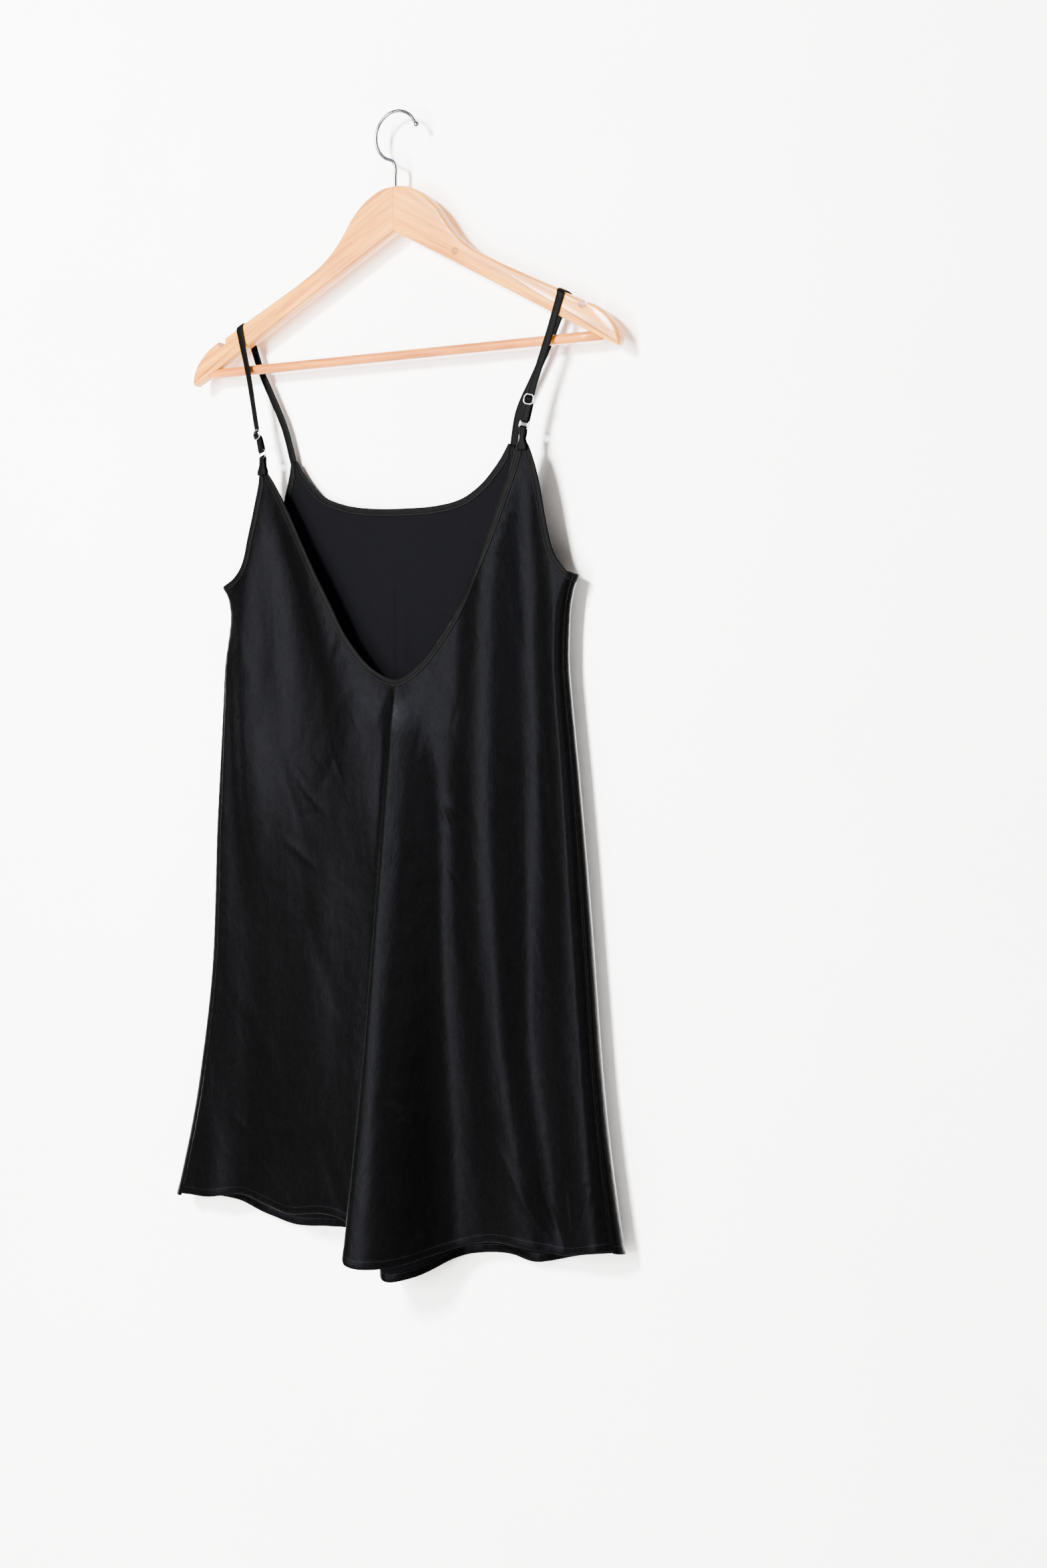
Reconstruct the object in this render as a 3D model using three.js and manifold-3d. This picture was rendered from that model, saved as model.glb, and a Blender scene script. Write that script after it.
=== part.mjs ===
// A slip dress of bias-cut satin hanging by its straps from a wooden hanger.
// Millimetres, +Z up, +X to the viewer's right, the dress front faces -Y.
// The origin is the inner top of the hanger's hook, where a rail or peg carries it.
import * as THREE from 'three';
import { mergeVertices } from 'three/addons/utils/BufferGeometryUtils.js';
import Module from 'manifold-3d';

const wasm = await Module();
wasm.setup();

// Driving sizes of the cloth
const CLOTH = 1.2;            // satin wall
const BINDING = 1.9;          // folded bias binding, four layers
const BINDING_WIDTH = 6.5;
const SEAM_GAP = 0.3;         // clearance between pieces that touch
const HALF_GAP = SEAM_GAP / 2;
const SIDE_GAP = 0.35;        // each panel's share of the gap at a side seam, where walls tilt
const EDGE_EASE = 0.7;        // more room where a panel's straight rows meet a curved edge
const HEM_LEVEL = -978;       // mean height of the hem
const DROP_START = -700;      // below this the hem's rise and fall grows

// Driving sizes of the straps
const STRAP_WIDTH = 6.8;
const STRAP = 1.0;
const TAB_WIDTH = 7.2;
const TAB = 1.2;
const TAB_OVERLAP = 3.2;      // how far the tab's legs reach below the strap point
const SLIDER = { width: 10.2, height: 9.2, bar: 1.0, thick: 1.0, corner: 2.2 };
const ARM_SLOPE = 0.52;       // fall of the arms' top edge where the straps cross
const BACK_SLANT = 0.45;      // slant of the straps' back stretches
const RING = { width: 10.4, height: 8.0, wire: 1.5, corner: 0.9 };
const RING_STEPS = 28;
const LOOP_EASE = 0.15;       // slack where cloth turns round a wire
const EIGHTH = Math.SQRT1_2;  // sine and cosine half way round a quarter turn

// Driving sizes of the hanger
const ARM_THICK = 12;
const ARM_EDGE = 2.6;         // rounding of the arms' edges
const BAR_DIAMETER = 8.6;
const BAR_HEIGHT = -211.6;
const BAR_REACH = 205;        // half length of the trouser bar
const BAR_HOLE = 9.2;
const WIRE = 3.0;             // hook wire
const HOOK_RADIUS = 20;       // inner radius of the hook
const HOOK_SHIFT = -1.2;      // the shank stands a little left of the mitre
const WIRE_HOLE = 3.6;
const SHANK_END = -88;
const TIP = 5.0;              // ball on the open end of the hook
const DRILL = 60;             // length of a cutting rod, past both sides of the wood

// The flattened tube of the dress: left and right extremes, radius of its side
// edges, and how far each side seam has swung to the front, in degrees.
const TUBE = [
  { z: -409, left: -190, right: 181, round: 8, leftTurn: 30, rightTurn: 25 },
  { z: -421, left: -184, right: 176.5, round: 8, leftTurn: 34, rightTurn: 25 },
  { z: -440, left: -182, right: 173, round: 8.2, leftTurn: 40, rightTurn: 26 },
  { z: -480, left: -188, right: 171.6, round: 8.6, leftTurn: 50, rightTurn: 27 },
  { z: -515, left: -190, right: 174.5, round: 9, leftTurn: 60, rightTurn: 28 },
  { z: -575, left: -194, right: 181, round: 9.4, leftTurn: 72, rightTurn: 30 },
  { z: -637, left: -198, right: 187, round: 9.7, leftTurn: 78, rightTurn: 33 },
  { z: -700, left: -200.3, right: 192.4, round: 10, leftTurn: 80, rightTurn: 37 },
  { z: -762, left: -204, right: 198, round: 10.5, leftTurn: 80, rightTurn: 41 },
  { z: -825, left: -212, right: 204, round: 11.2, leftTurn: 80, rightTurn: 46 },
  { z: -889, left: -223, right: 212, round: 12, leftTurn: 80, rightTurn: 50 },
  { z: -950, left: -238, right: 221, round: 12.7, leftTurn: 80, rightTurn: 53 },
  { z: -978, left: -245.5, right: 225.5, round: 13, leftTurn: 80, rightTurn: 54 },
];

// Folds of the front panel. x is the crest on the flat cloth, left and right its
// reach to each side, depth how far it stands forward, lean how far it falls left.
const FRONT_FOLDS = {
  fullness: [
    { z: -300, x: -5, left: 190, right: 185, depth: 4, lean: 0 },
    { z: -978, x: -10, left: 225, right: 220, depth: 5, lean: 0 },
  ],
  swell: [
    { z: -500, x: 4, left: 160, right: 60, depth: 0, lean: 0 },
    { z: -602, x: 6, left: 170, right: 62, depth: 4, lean: 0 },
    { z: -714, x: 4, left: 180, right: 64, depth: 8, lean: 0 },
    { z: -828, x: 0, left: 195, right: 70, depth: 12, lean: 0 },
    { z: -978, x: -8, left: 180, right: 82, depth: 19, lean: 0 },
  ],
  centreFold: [
    { z: -500, x: 5, left: 12, right: 34, depth: 0, lean: 0 },
    { z: -555, x: 8, left: 13, right: 38, depth: 3, lean: 1 },
    { z: -602, x: 8, left: 15, right: 42, depth: 6, lean: 3 },
    { z: -714, x: 8, left: 22, right: 48, depth: 11, lean: 8 },
    { z: -828, x: 10, left: 29, right: 54, depth: 17, lean: 15 },
    { z: -978, x: 11, left: 36, right: 62, depth: 24, lean: 26 },
  ],
  innerTrough: [
    { z: -540, x: 50, left: 32, right: 38, depth: 0, lean: 0 },
    { z: -602, x: 54, left: 34, right: 40, depth: -4, lean: 0 },
    { z: -714, x: 55, left: 36, right: 42, depth: -5, lean: 0 },
    { z: -828, x: 60, left: 40, right: 48, depth: -6, lean: 0 },
    { z: -978, x: 76, left: 44, right: 60, depth: -6, lean: 0 },
  ],
  innerRidge: [
    { z: -322, x: 123, left: 12, right: 12, depth: 0, lean: 0 },
    { z: -372, x: 104, left: 20, right: 26, depth: 3, lean: 0 },
    { z: -419, x: 96, left: 26, right: 34, depth: 5, lean: 0 },
    { z: -600, x: 98, left: 40, right: 38, depth: 5.5, lean: 0 },
    { z: -714, x: 106, left: 42, right: 34, depth: 5.5, lean: 0 },
    { z: -828, x: 118, left: 44, right: 30, depth: 4.5, lean: 0 },
    { z: -978, x: 142, left: 50, right: 34, depth: 2, lean: 0 },
  ],
  outerTrough: [
    { z: -322, x: 136, left: 12, right: 10, depth: 0, lean: 0 },
    { z: -372, x: 138, left: 26, right: 16, depth: -3, lean: 0 },
    { z: -419, x: 139, left: 34, right: 26, depth: -5, lean: 0 },
    { z: -600, x: 140, left: 38, right: 36, depth: -6, lean: 0 },
    { z: -714, x: 140, left: 34, right: 40, depth: -6, lean: 0 },
    { z: -828, x: 142, left: 30, right: 44, depth: -5, lean: 0 },
    { z: -978, x: 172, left: 30, right: 38, depth: -3, lean: 0 },
  ],
  outerRidge: [
    { z: -400, x: 160, left: 16, right: 14, depth: 0, lean: 0 },
    { z: -465, x: 163, left: 26, right: 14, depth: 2, lean: 0 },
    { z: -600, x: 173, left: 32, right: 16, depth: 2.5, lean: 0 },
    { z: -828, x: 190, left: 38, right: 18, depth: 3, lean: 0 },
    { z: -978, x: 203, left: 38, right: 20, depth: 5, lean: 0 },
  ],
  neckRidge: [
    { z: -330, x: -122, left: 14, right: 12, depth: 0, lean: 0 },
    { z: -413, x: -80, left: 26, right: 26, depth: 3, lean: 0 },
    { z: -508, x: -44, left: 34, right: 34, depth: 4, lean: 0 },
    { z: -600, x: -26, left: 40, right: 30, depth: 2, lean: 0 },
    { z: -680, x: -20, left: 40, right: 30, depth: 0, lean: 0 },
  ],
  bustTrough: [
    { z: -330, x: -136, left: 10, right: 10, depth: 0, lean: 0 },
    { z: -413, x: -112, left: 28, right: 30, depth: -4, lean: 0 },
    { z: -508, x: -96, left: 36, right: 40, depth: -3, lean: 0 },
    { z: -600, x: -88, left: 40, right: 44, depth: 0, lean: 0 },
  ],
  leftRidge: [
    { z: -345, x: -146, left: 10, right: 12, depth: 0, lean: 0 },
    { z: -413, x: -158, left: 20, right: 26, depth: 3, lean: 0 },
    { z: -510, x: -160, left: 20, right: 34, depth: 3.5, lean: 0 },
    { z: -605, x: -148, left: 30, right: 40, depth: 2.5, lean: 0 },
    { z: -720, x: -130, left: 40, right: 50, depth: 0, lean: 0 },
  ],
  hemCorner: [
    { z: -850, x: -196, left: 24, right: 24, depth: 0, lean: 0 },
    { z: -978, x: -200, left: 32, right: 30, depth: 6, lean: 0 },
  ],
};

// Folds of the back panel, measured the same way: positive depth comes forward.
const BACK_FOLDS = {
  fullness: [
    { z: -296, x: 0, left: 180, right: 176, depth: -0.5, lean: 0 },
    { z: -978, x: -8, left: 225, right: 222, depth: 1, lean: 0 },
  ],
  centreFold: [
    { z: -395, x: -7, left: 20, right: 22, depth: 0, lean: 0 },
    { z: -450, x: -6, left: 20, right: 24, depth: 2.5, lean: 0 },
    { z: -602, x: -5, left: 26, right: 32, depth: 7, lean: 1 },
    { z: -714, x: -2, left: 30, right: 38, depth: 13, lean: 3 },
    { z: -828, x: 4, left: 36, right: 46, depth: 20, lean: 6 },
    { z: -978, x: 10, left: 42, right: 54, depth: 31, lean: 11 },
  ],
  leftTrough: [
    { z: -345, x: -84, left: 30, right: 34, depth: 0, lean: 0 },
    { z: -460, x: -86, left: 36, right: 40, depth: -1.5, lean: 0 },
    { z: -978, x: -82, left: 44, right: 44, depth: -1.5, lean: 0 },
  ],
  leftRidge: [
    { z: -380, x: -134, left: 22, right: 26, depth: 0, lean: 0 },
    { z: -520, x: -140, left: 26, right: 36, depth: 2.5, lean: 0 },
    { z: -978, x: -152, left: 40, right: 46, depth: 7, lean: 0 },
  ],
  rightTrough: [
    { z: -345, x: 76, left: 32, right: 30, depth: 0, lean: 0 },
    { z: -460, x: 78, left: 38, right: 34, depth: -1.5, lean: 0 },
    { z: -978, x: 82, left: 42, right: 40, depth: -1.5, lean: 0 },
  ],
  rightRidge: [
    { z: -380, x: 124, left: 26, right: 22, depth: 0, lean: 0 },
    { z: -520, x: 128, left: 34, right: 26, depth: 2.5, lean: 0 },
    { z: -978, x: 138, left: 44, right: 36, depth: 7.5, lean: 0 },
  ],
};

// Height of the hem across each panel, on the flat cloth from seam to seam.
const FRONT_HEM = [
  { x: -262, z: -975 }, { x: -232, z: -974 }, { x: -200, z: -973 }, { x: -162, z: -967 },
  { x: -130, z: -972 }, { x: -100, z: -976 }, { x: -62, z: -970 }, { x: -34, z: -972 },
  { x: -12, z: -986 }, { x: 10, z: -1005 }, { x: 34, z: -1005 }, { x: 60, z: -993 },
  { x: 84, z: -984 }, { x: 112, z: -979 }, { x: 150, z: -981 }, { x: 176, z: -983 },
  { x: 206, z: -976 }, { x: 240, z: -971 },
];
const BACK_HEM = [
  { x: -280, z: -976 }, { x: -240, z: -977 }, { x: -184, z: -980 }, { x: -145, z: -988 },
  { x: -118, z: -995 }, { x: -84, z: -993 }, { x: -56, z: -993 }, { x: -24, z: -1010 },
  { x: 8, z: -1026 }, { x: 30, z: -1021 }, { x: 54, z: -1004 }, { x: 80, z: -997 },
  { x: 112, z: -994 }, { x: 140, z: -996 }, { x: 184, z: -986 }, { x: 270, z: -972 },
];

// Cut edges on the flat cloth, from the left strap point to the right one for a
// neckline and from the strap point to the side seam for an armhole.
const FRONT_NECK = [
  [-136, -305], [-125, -320], [-110.5, -344], [-97, -368], [-78.5, -400], [-61, -430],
  [-47.3, -454], [-22, -483], [-9, -491], [3.5, -495.5], [14, -494], [35, -478.5],
  [55, -454], [71, -430], [87.5, -400], [102, -368], [111, -344], [119, -323], [127, -299],
];
const BACK_NECK = [
  [-114, -296], [-107, -307], [-97, -319], [-85, -329.5], [-60, -339], [-30, -343.5],
  [4, -344.8], [36, -344], [62, -339], [81, -328], [92, -317.5], [101.5, -306], [109, -294],
];
const FRONT_ARMHOLE = {
  left: [
    [-143.3, -305], [-145, -318], [-148.5, -332], [-156.5, -362], [-164, -390], [-173, -401],
    [-184, -407.5],
  ],
  right: [
    [138, -299], [143, -312], [148.5, -332], [154.5, -361], [162, -389], [169.5, -401],
    [177, -408],
  ],
};
const BACK_ARMHOLE = {
  left: [
    [-120, -296], [-122.5, -310], [-128.5, -332], [-140, -366], [-155, -390], [-172, -403],
    [-190, -408.6],
  ],
  right: [
    [115, -296], [118, -310], [124, -332], [134, -366], [147, -390], [162, -403],
    [180, -409.4],
  ],
};

// Rows of each panel, as levels with the number of steps down to the next one.
const FRONT_LEVELS = [
  { z: -321, steps: 4 }, { z: -392, steps: 3 }, { z: -417.6, steps: 4 }, { z: -484, steps: 3 },
  { z: -499, steps: 2 }, { z: -503.2, steps: 1 }, { z: -560, steps: 7 }, { z: -978, steps: 0 },
];
const BACK_LEVELS = [
  { z: -312, steps: 2 }, { z: -336, steps: 2 }, { z: -346, steps: 2 }, { z: -350.6, steps: 2 },
  { z: -352.5, steps: 1 }, { z: -374, steps: 1 }, { z: -392, steps: 3 }, { z: -417.6, steps: 4 },
  { z: -484, steps: 1 }, { z: -503.2, steps: 1 }, { z: -560, steps: 7 }, { z: -978, steps: 0 },
];
// Columns of each half: round its side edge, then from there to the middle.
const FRONT_COLUMNS = { edge: 3, left: 16, right: 21, crowd: 0.5 };
const BACK_COLUMNS = { edge: 6, left: 11, right: 11, crowd: 0.35 };
const EDGE_SHARE = 0.3;       // most of a short row that its edge columns may take

// Each strap: the back stretch up to the arm, the front stretch down to the slider,
// then the ring and the strap point.
const STRAPS = {
  left: {
    side: -1,
    backEnd: [-117, -304],
    back: [[-128.5, 9.0, -264.5], [-141.5, 8.4, -237], [-153.5, 7.6, -212]],
    armBack: [-162.6, 6.8, -186],
    armTop: [-167.2, 0, -170.3],
    armFront: [-166.2, -6.8, -180],
    front: [[-157, -7.4, -216]],
    slider: [-146, -8.0, -272],
    ring: [-141.6, -9.2, -290],
    point: [-139.8, -305],
  },
  right: {
    side: 1,
    backEnd: [112, -302],
    back: [[119, 9.0, -268], [134, 8.4, -240], [148, 7.6, -214]],
    armBack: [160, 6.8, -189],
    armTop: [168.2, 0, -170.8],
    armFront: [165, -6.8, -184],
    front: [[157, -7.4, -209]],
    slider: [138.8, -8.0, -261],
    ring: [133.6, -9.2, -281.5],
    point: [132.4, -299],
  },
};

// Outline of one arm of the hanger, from the mitre's top out to the tip and back
// along the underside. The garment notch is cut separately.
const ARM_TOP = [
  [0, -64.6], [11, -65.6], [19.5, -68.6], [29.5, -74.2], [36.8, -80.2], [43.6, -87],
  [49.6, -95], [55.5, -103.4], [62.5, -112], [77, -125], [102, -139.4], [129.5, -153],
  [163, -169.2], [183, -179.6], [195, -184.6], [203, -189], [210.5, -195.2], [216.8, -202.4],
  [220.8, -210], [222.6, -217.5],
];
const ARM_TIP = [221.6, -221.9];
const ARM_UNDERSIDE = [[209.9, -216.6], [160.5, -190.2], [104.7, -160], [0, -103.8]];
const NOTCH = { x: 188.6, z: -184.6, radius: 4.4 };

const COLOURS = {
  satin: { color: 0x1b1b20, roughness: 0.34, metalness: 0 },
  binding: { color: 0x212126, roughness: 0.42, metalness: 0 },
  metal: { color: 0xc9c9cc, roughness: 0.22, metalness: 1 },
  wood: { color: 0xf0cfae, roughness: 0.35, metalness: 0 },
  chrome: { color: 0xb9babd, roughness: 0.16, metalness: 1 },
};

// A smooth column of a table of rows that go down in z.
function column(rows, name, key = 'z') {
  const at = rows.map((row) => row[key]);
  const value = rows.map((row) => row[name]);
  const slope = value.map((v, i) => {
    const a = Math.max(i - 1, 0);
    const b = Math.min(i + 1, value.length - 1);
    return (value[b] - value[a]) / (at[b] - at[a]);
  });
  const rising = at[at.length - 1] > at[0];
  return (t) => {
    const inside = rising
      ? Math.min(Math.max(t, at[0]), at[at.length - 1])
      : Math.max(Math.min(t, at[0]), at[at.length - 1]);
    let i = 0;
    while (i < at.length - 2 && (rising ? inside > at[i + 1] : inside < at[i + 1])) i += 1;
    const span = at[i + 1] - at[i];
    const u = (inside - at[i]) / span;
    const u2 = u * u;
    const u3 = u2 * u;
    return value[i] * (2 * u3 - 3 * u2 + 1) + slope[i] * span * (u3 - 2 * u2 + u)
      + value[i + 1] * (3 * u2 - 2 * u3) + slope[i + 1] * span * (u3 - u2);
  };
}

function columns(rows, names) {
  return Object.fromEntries(names.map((name) => [name, column(rows, name)]));
}

const tube = columns(TUBE, ['left', 'right', 'round', 'leftTurn', 'rightTurn']);

// A fold is a smooth crest that fades to nothing at its reach on each side.
function foldOf(rows) {
  const table = columns(rows, ['x', 'left', 'right', 'depth', 'lean']);
  const ends = { top: rows[0].z, bottom: rows[rows.length - 1].z };
  return (x, z) => {
    const offset = x - table.x(z);
    const reach = offset < 0 ? table.left(z) : table.right(z);
    const q = Math.min(Math.abs(offset) / reach, 1);
    const faded = rows[0].depth === 0 && z > ends.top;
    const ended = rows[rows.length - 1].depth === 0 && z < ends.bottom;
    const height = faded || ended ? 0 : (1 + Math.cos(Math.PI * q)) / 2;
    return { forward: table.depth(z) * height, left: table.lean(z) * height };
  };
}

// One panel as a function from its flat cloth (x across, z down) to space.
function panelOf(face, folds, hemRows) {
  const bumps = Object.values(folds).map(foldOf);
  const hem = column(hemRows, 'z', 'x');
  const seamAngle = (turn) => THREE.MathUtils.degToRad(face < 0 ? 90 - turn : 90 + turn);
  const edgeLength = (side, z) => (
    tube.round(z) * seamAngle(side < 0 ? tube.leftTurn(z) : tube.rightTurn(z))
  );
  return {
    edgeLength,
    seam(side, z) {
      const flatEnd = side < 0 ? tube.left(z) + tube.round(z) : tube.right(z) - tube.round(z);
      return flatEnd + side * edgeLength(side, z);
    },
    at(x, z) {
      const round = tube.round(z);
      const flatLeft = tube.left(z) + round;
      const flatRight = tube.right(z) - round;
      const turned = Math.max(flatLeft - x, x - flatRight, 0) / round;
      const nearest = Math.min(Math.max(x, flatLeft), flatRight);
      const point = new THREE.Vector3(
        nearest + Math.sign(x - nearest) * round * Math.sin(turned),
        face * round * Math.cos(turned),
        z,
      );
      const faded = Math.max(0, 1 - turned);
      for (const bump of bumps) {
        const { forward, left } = bump(x, z);
        point.y -= forward * faded;
        point.x -= left * faded;
      }
      const fall = THREE.MathUtils.clamp((DROP_START - z) / (DROP_START - HEM_LEVEL), 0, 1);
      point.z += (hem(x) - HEM_LEVEL) * fall * fall * (3 - 2 * fall);
      return point;
    },
  };
}

const front = panelOf(-1, FRONT_FOLDS, FRONT_HEM);
const back = panelOf(1, BACK_FOLDS, BACK_HEM);

// An open sheet of four-sided cells thickened to a closed wall about its middle.
function wall(points, cells, thickness) {
  const normals = points.map(() => new THREE.Vector3());
  for (const cell of cells) {
    const first = points[cell[2]].clone().sub(points[cell[0]]);
    const second = points[cell[3]].clone().sub(points[cell[1]]);
    const normal = first.cross(second);
    cell.forEach((i) => normals[i].add(normal));
  }
  const positions = [];
  for (const side of [0.5, -0.5]) {
    points.forEach((point, i) => {
      const offset = normals[i].clone().normalize().multiplyScalar(side * thickness);
      positions.push(...point.clone().add(offset).toArray());
    });
  }
  const count = points.length;
  const index = [];
  const edges = new Map();
  for (const [a, b, c, d] of cells) {
    index.push(a, b, c, a, c, d, count + a, count + c, count + b, count + a, count + d, count + c);
    for (const [from, to] of [[a, b], [b, c], [c, d], [d, a]]) {
      if (!edges.delete(`${to},${from}`)) edges.set(`${from},${to}`, [from, to]);
    }
  }
  for (const [from, to] of edges.values()) {
    index.push(from, count + from, count + to, from, count + to, to);
  }
  const geometry = new THREE.BufferGeometry();
  geometry.setAttribute('position', new THREE.Float32BufferAttribute(positions, 3));
  geometry.setIndex(index);
  return geometry;
}

// A cut edge as evenly spaced points with the direction into the cloth.
function edgeOf(outline, steps, inward, seamEnd = null) {
  const curve = new THREE.CatmullRomCurve3(
    outline.map(([x, z]) => new THREE.Vector3(x, 0, z)), false, 'centripetal',
  );
  const stations = [];
  for (let i = 0; i <= steps; i += 1) {
    const point = curve.getPointAt(i / steps);
    const along = curve.getTangentAt(i / steps);
    const into = new THREE.Vector2(along.z, -along.x).multiplyScalar(inward);
    const nearSeam = seamEnd === null ? 0 : Math.max(0, 1 - (steps - i) / seamEnd);
    into.lerp(new THREE.Vector2(0, -1), nearSeam).normalize();
    stations.push({ x: point.x, z: point.z, into });
  }
  return stations;
}

// How wide the binding may be where a neckline and an armhole run together.
function bindingWidth(station, other) {
  const gap = Math.min(...other.map((o) => Math.hypot(o.x - station.x, o.z - station.z)));
  return Math.min(BINDING_WIDTH, (gap - SEAM_GAP) / 2);
}

function moved(station, distance) {
  return { x: station.x + station.into.x * distance, z: station.z + station.into.y * distance };
}

const armholeOutline = (table, panel, side) => {
  const rows = table[side < 0 ? 'left' : 'right'];
  const z = TUBE[0].z;
  return [...rows, [panel.seam(side, z), z - 0.6]];
};

// A panel's two cut edges: its neckline and its armholes, with their bindings' widths.
function cutEdges(panel, neckOutline, armholeTable, neckSteps, armSteps) {
  const neck = edgeOf(neckOutline, neckSteps, 1);
  const armhole = {};
  for (const side of [-1, 1]) {
    armhole[side] = edgeOf(armholeOutline(armholeTable, panel, side), armSteps, side, 4);
    for (const station of armhole[side]) station.width = bindingWidth(station, neck);
  }
  const fringe = [...armhole[-1], ...armhole[1]];
  for (const station of neck) station.width = bindingWidth(station, fringe);
  return { neck, armhole };
}

const frontEdges = cutEdges(front, FRONT_NECK, FRONT_ARMHOLE, 56, 16);
const backEdges = cutEdges(back, BACK_NECK, BACK_ARMHOLE, 34, 14);

// Where a panel ends beside the binding, as x for a height.
function boundary(stations) {
  const line = stations.map((s) => moved(s, s.width + SEAM_GAP + EDGE_EASE));
  return (z) => {
    for (let i = 1; i < line.length; i += 1) {
      const [a, b] = [line[i - 1], line[i]];
      if ((a.z >= z && b.z <= z) || (a.z <= z && b.z >= z)) {
        const span = b.z - a.z;
        return a.x + (span === 0 ? 0 : (z - a.z) / span) * (b.x - a.x);
      }
    }
    return null;
  };
}

function levelsOf(table) {
  const levels = [table[0].z];
  for (let i = 0; i < table.length - 1; i += 1) {
    const { z, steps } = table[i];
    for (let k = 1; k <= steps; k += 1) levels.push(z + ((table[i + 1].z - z) * k) / steps);
  }
  return levels;
}

function panelGeometry(panel, edges, levelTable, columnCount, centre) {
  const lowest = edges.neck.reduce((a, b) => (b.z < a.z ? b : a));
  const middle = edges.neck.indexOf(lowest);
  const neckSide = { '-1': edges.neck.slice(0, middle + 1), 1: edges.neck.slice(middle) };
  const neckBottom = lowest.z - BINDING_WIDTH - SEAM_GAP - EDGE_EASE;
  const points = [];
  const cells = [];
  const grid = { '-1': [], 1: [] };
  for (const z of levelsOf(levelTable)) {
    const joined = z < neckBottom + 0.1;
    const shared = joined ? points.push(panel.at(centre(z), z)) - 1 : null;
    for (const side of [-1, 1]) {
      const count = side < 0 ? columnCount.left : columnCount.right;
      const armEdge = boundary(edges.armhole[side])(z);
      const outer = armEdge === null ? panel.seam(side, z) - side * SIDE_GAP : armEdge;
      const inner = joined ? centre(z) : boundary(neckSide[side])(z);
      const edge = Math.min(panel.edgeLength(side, z), EDGE_SHARE * Math.abs(inner - outer));
      const turned = outer - side * edge;
      const row = [];
      for (let j = 0; j < columnCount.edge; j += 1) {
        row.push(points.push(panel.at(outer + ((turned - outer) * j) / columnCount.edge, z)) - 1);
      }
      for (let j = 0; j <= count; j += 1) {
        const u = j / count;
        const t = u - (columnCount.crowd * Math.sin(2 * Math.PI * u)) / (2 * Math.PI);
        const last = j === count && joined;
        row.push(last ? shared : points.push(panel.at(turned + (inner - turned) * t, z)) - 1);
      }
      grid[side].push(row);
    }
  }
  const facing = panel === front ? 1 : -1;
  for (const side of [-1, 1]) {
    const rows = grid[side];
    for (let i = 1; i < rows.length; i += 1) {
      for (let j = 1; j < rows[i].length; j += 1) {
        const cell = [rows[i - 1][j - 1], rows[i][j - 1], rows[i][j], rows[i - 1][j]];
        cells.push(side * facing < 0 ? cell : cell.reverse());
      }
    }
  }
  return wall(points, cells, CLOTH);
}

// A binding lies in the panel's surface along a cut edge, thicker than the cloth.
function bindingCells(rows) {
  const points = rows.flat();
  const cells = [];
  for (let i = 1; i < rows.length; i += 1) {
    const a = 3 * (i - 1);
    const b = 3 * i;
    cells.push([a, b, b + 1, a + 1], [a + 1, b + 1, b + 2, a + 2]);
  }
  return wall(points, cells, BINDING);
}

function bindingRow(panel, station) {
  return [0, 0.5, 1].map((part) => {
    const { x, z } = moved(station, part * station.width);
    return panel.at(x, z);
  });
}

function neckBinding(panel, edges) {
  const rows = edges.neck.map((station) => bindingRow(panel, station));
  return bindingCells(panel === front ? rows : rows.reverse());
}

// The armhole binding runs from the front strap point under the arm to the back one.
function armholeBinding(side) {
  const forward = frontEdges.armhole[side].map((station) => bindingRow(front, station));
  const behind = backEdges.armhole[side].slice(0, -1).reverse()
    .map((station) => bindingRow(back, station));
  const rows = [...forward, ...behind];
  return bindingCells(side > 0 ? rows.reverse() : rows);
}

const vector = ([x, y, z]) => new THREE.Vector3(x, y, z);

// A flat band along a path. Each station gives its place and the band's own width axis.
function band(stations, width, thickness) {
  const rows = stations.map(({ at, across }) => [-0.5, 0.5].map((s) => (
    at.clone().addScaledVector(across, s * width)
  )));
  const points = rows.flat();
  const cells = [];
  for (let i = 1; i < rows.length; i += 1) cells.push([2 * i - 2, 2 * i, 2 * i + 1, 2 * i - 1]);
  return wall(points, cells, thickness);
}

// The frame of a strap's front stretch: down along it, across it and toward the wall.
function strapFrame(strap) {
  const down = vector(strap.ring).sub(vector(strap.slider)).normalize();
  const across = new THREE.Vector3(-down.z, 0, down.x).normalize();
  const inward = new THREE.Vector3().crossVectors(across, down).negate();
  if (inward.y < 0) inward.negate();
  return { down, across, inward };
}

// Depth of the strap about the slider, then round the ring and back up behind it.
function strapLoop(strap) {
  const { down, inward } = strapFrame(strap);
  const start = vector(strap.slider);
  const barLift = SLIDER.thick / 2 + STRAP / 2 + SEAM_GAP;
  const half = SLIDER.height / 2;
  const reach = vector(strap.ring).distanceTo(start) - RING.height / 2 + RING.wire / 2;
  const turn = RING.wire / 2 + STRAP / 2 + SEAM_GAP + LOOP_EASE;
  const place = (along, depth) => start.clone().addScaledVector(down, along)
    .addScaledVector(inward, depth);
  const middle = half / 2 - 0.25;
  const line = [
    [-half - 4, 0], [-half + 0.6, 0], [-middle, -barLift], [-0.3, -2 * barLift],
    [0.3, -2 * barLift], [middle, -barLift], [half - 0.6, 0], [half + 2, 0], [reach - 2, 0],
    [reach, 0], [reach + turn * EIGHTH, turn * (1 - EIGHTH)], [reach + turn, turn],
    [reach + turn * EIGHTH, turn * (1 + EIGHTH)], [reach, 2 * turn], [reach - 2, 2 * turn],
    [half + 1, 2 * turn - 0.6], [half * 0.5, turn + 0.1], [1.4, 0.5],
  ];
  return { line: line.map(([along, depth]) => place(along, depth)), barLift, reach, turn };
}

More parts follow.
